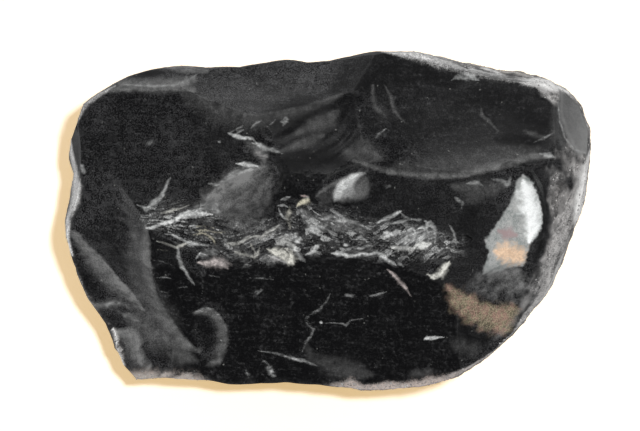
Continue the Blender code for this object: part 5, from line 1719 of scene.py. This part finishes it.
def set_world():
    """Dim room that the stone sees, pale backdrop behind it."""
    world = bpy.data.worlds.new("studio")
    world.use_nodes = True
    tree = world.node_tree
    back = tree.nodes["Background"]
    back.inputs["Color"].default_value = (0.10, 0.10, 0.105, 1.0)
    pale = tree.nodes.new("ShaderNodeBackground")
    pale.inputs["Color"].default_value = (0.93, 0.925, 0.91, 1.0)
    path = tree.nodes.new("ShaderNodeLightPath")
    both = tree.nodes.new("ShaderNodeMixShader")
    tree.links.new(path.outputs["Is Camera Ray"], both.inputs[0])
    tree.links.new(back.outputs[0], both.inputs[1])
    tree.links.new(pale.outputs[0], both.inputs[2])
    tree.links.new(both.outputs[0], tree.nodes["World Output"].inputs["Surface"])
    bpy.context.scene.world = world


def set_camera(s):
    """Camera straight above the stone, far off, so that the stone fills the set width."""
    data = bpy.data.cameras.new("camera")
    data.lens = FOCAL
    data.sensor_width = SENSOR
    data.clip_end = 10.0
    camera = bpy.data.objects.new("camera", data)
    camera.location = (s.off_x, s.off_y, PICTURE_Z * MM + s.frame_width * FOCAL / SENSOR)
    bpy.context.scene.collection.objects.link(camera)
    bpy.context.scene.camera = camera


# ---- operators -------------------------------------------------------------------------------------------
class FLINT_OT_stone(bpy.types.Operator):
    """Build the broken flint and hide its plain solid"""
    bl_idname = "flint.stone"
    bl_label = "Flint stone"

    def execute(self, context):
        s = context.scene.flint_stone
        stone = bpy.data.objects.new("flint_stone", build_flint(s))
        stone.data.materials.append(stone_material(s))
        context.scene.collection.objects.link(stone)
        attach(stone, "root")
        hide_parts(NODE)
        return {"FINISHED"}


class FLINT_OT_grains(bpy.types.Operator):
    """Set the chalky skin with small grains"""
    bl_idname = "flint.grains"
    bl_label = "Cortex grains"

    def execute(self, context):
        stone = bpy.data.objects.get("flint_stone")
        if stone is None:
            raise RuntimeError("build the flint stone first")
        s = context.scene.cortex_grains
        material = cortex_material(context.scene.flint_stone)
        mesh = grown_mesh(stone, grain_tree(material), {"Grains per area": s.per_area, "Grain size": s.size,
                                                        "Flatness": s.flatness, "Seed": s.seed})
        if not len(mesh.polygons):
            raise RuntimeError("no grain found a place on the cortex")
        print("grains:", len(mesh.polygons), "triangles")
        grains = bpy.data.objects.new("cortex_grains", mesh)
        context.scene.collection.objects.link(grains)
        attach(grains, "root")
        return {"FINISHED"}


class FLINT_OT_stage(bpy.types.Operator):
    """Lay the paper and set the lamps, the room and the camera"""
    bl_idname = "flint.stage"
    bl_label = "Stage"

    def execute(self, context):
        s = context.scene.flint_stage
        half = PAPER_HALF
        mesh = bpy.data.meshes.new("paper")
        corners = [(-half, -half, 0), (half, -half, 0), (half, half, 0), (-half, half, 0)]
        mesh.from_pydata(corners, [], [(0, 1, 2, 3)])
        paper = bpy.data.objects.new("paper", mesh)
        paper.location.z = PAPER_Z
        paper.data.materials.append(paper_material(s))
        context.scene.collection.objects.link(paper)
        paper.visible_glossy = False
        paper.visible_diffuse = False
        card = bpy.data.objects.new("card", mesh.copy())
        card.location.z = CARD_Z
        card.data.materials[0] = card_material()
        context.scene.collection.objects.link(card)
        card.visible_camera = False
        card.visible_diffuse = False
        card.visible_shadow = False
        for lamp in HIDDEN_LAMPS:
            softbox(*lamp).visible_glossy = False
        for lamp in MIRRORED_LAMPS:
            softbox(*lamp)
        set_world()
        set_camera(s)
        context.scene.view_settings.view_transform = "Standard"
        return {"FINISHED"}


class FLINT_PT_panel(bpy.types.Panel):
    """Lists what the flint nodule is made of"""
    bl_idname = "FLINT_PT_panel"
    bl_label = "Flint nodule"
    bl_space_type = "VIEW_3D"
    bl_region_type = "UI"
    bl_category = "Flint"

    def draw(self, context):
        for group, operator in (("flint_stone", "flint.stone"), ("cortex_grains", "flint.grains"),
                                ("flint_stage", "flint.stage")):
            box = self.layout.box()
            box.operator(operator)
            settings = getattr(context.scene, group)
            for name in settings.bl_rna.properties.keys():
                if name not in ("rna_type", "name"):
                    box.prop(settings, name)


CLASSES = (FlintStoneSettings, CortexGrainSettings, StageSettings, FLINT_OT_stone, FLINT_OT_grains,
           FLINT_OT_stage, FLINT_PT_panel)


def register():
    for cls in CLASSES:
        bpy.utils.register_class(cls)
    bpy.types.Scene.flint_stone = PointerProperty(type=FlintStoneSettings)
    bpy.types.Scene.cortex_grains = PointerProperty(type=CortexGrainSettings)
    bpy.types.Scene.flint_stage = PointerProperty(type=StageSettings)


def unregister():
    del bpy.types.Scene.flint_stage
    del bpy.types.Scene.cortex_grains
    del bpy.types.Scene.flint_stone
    for cls in reversed(CLASSES):
        bpy.utils.unregister_class(cls)


def main():
    register()
    bpy.ops.flint.stone()
    bpy.ops.flint.grains()
    bpy.ops.flint.stage()


if __name__ == "__main__":
    main()
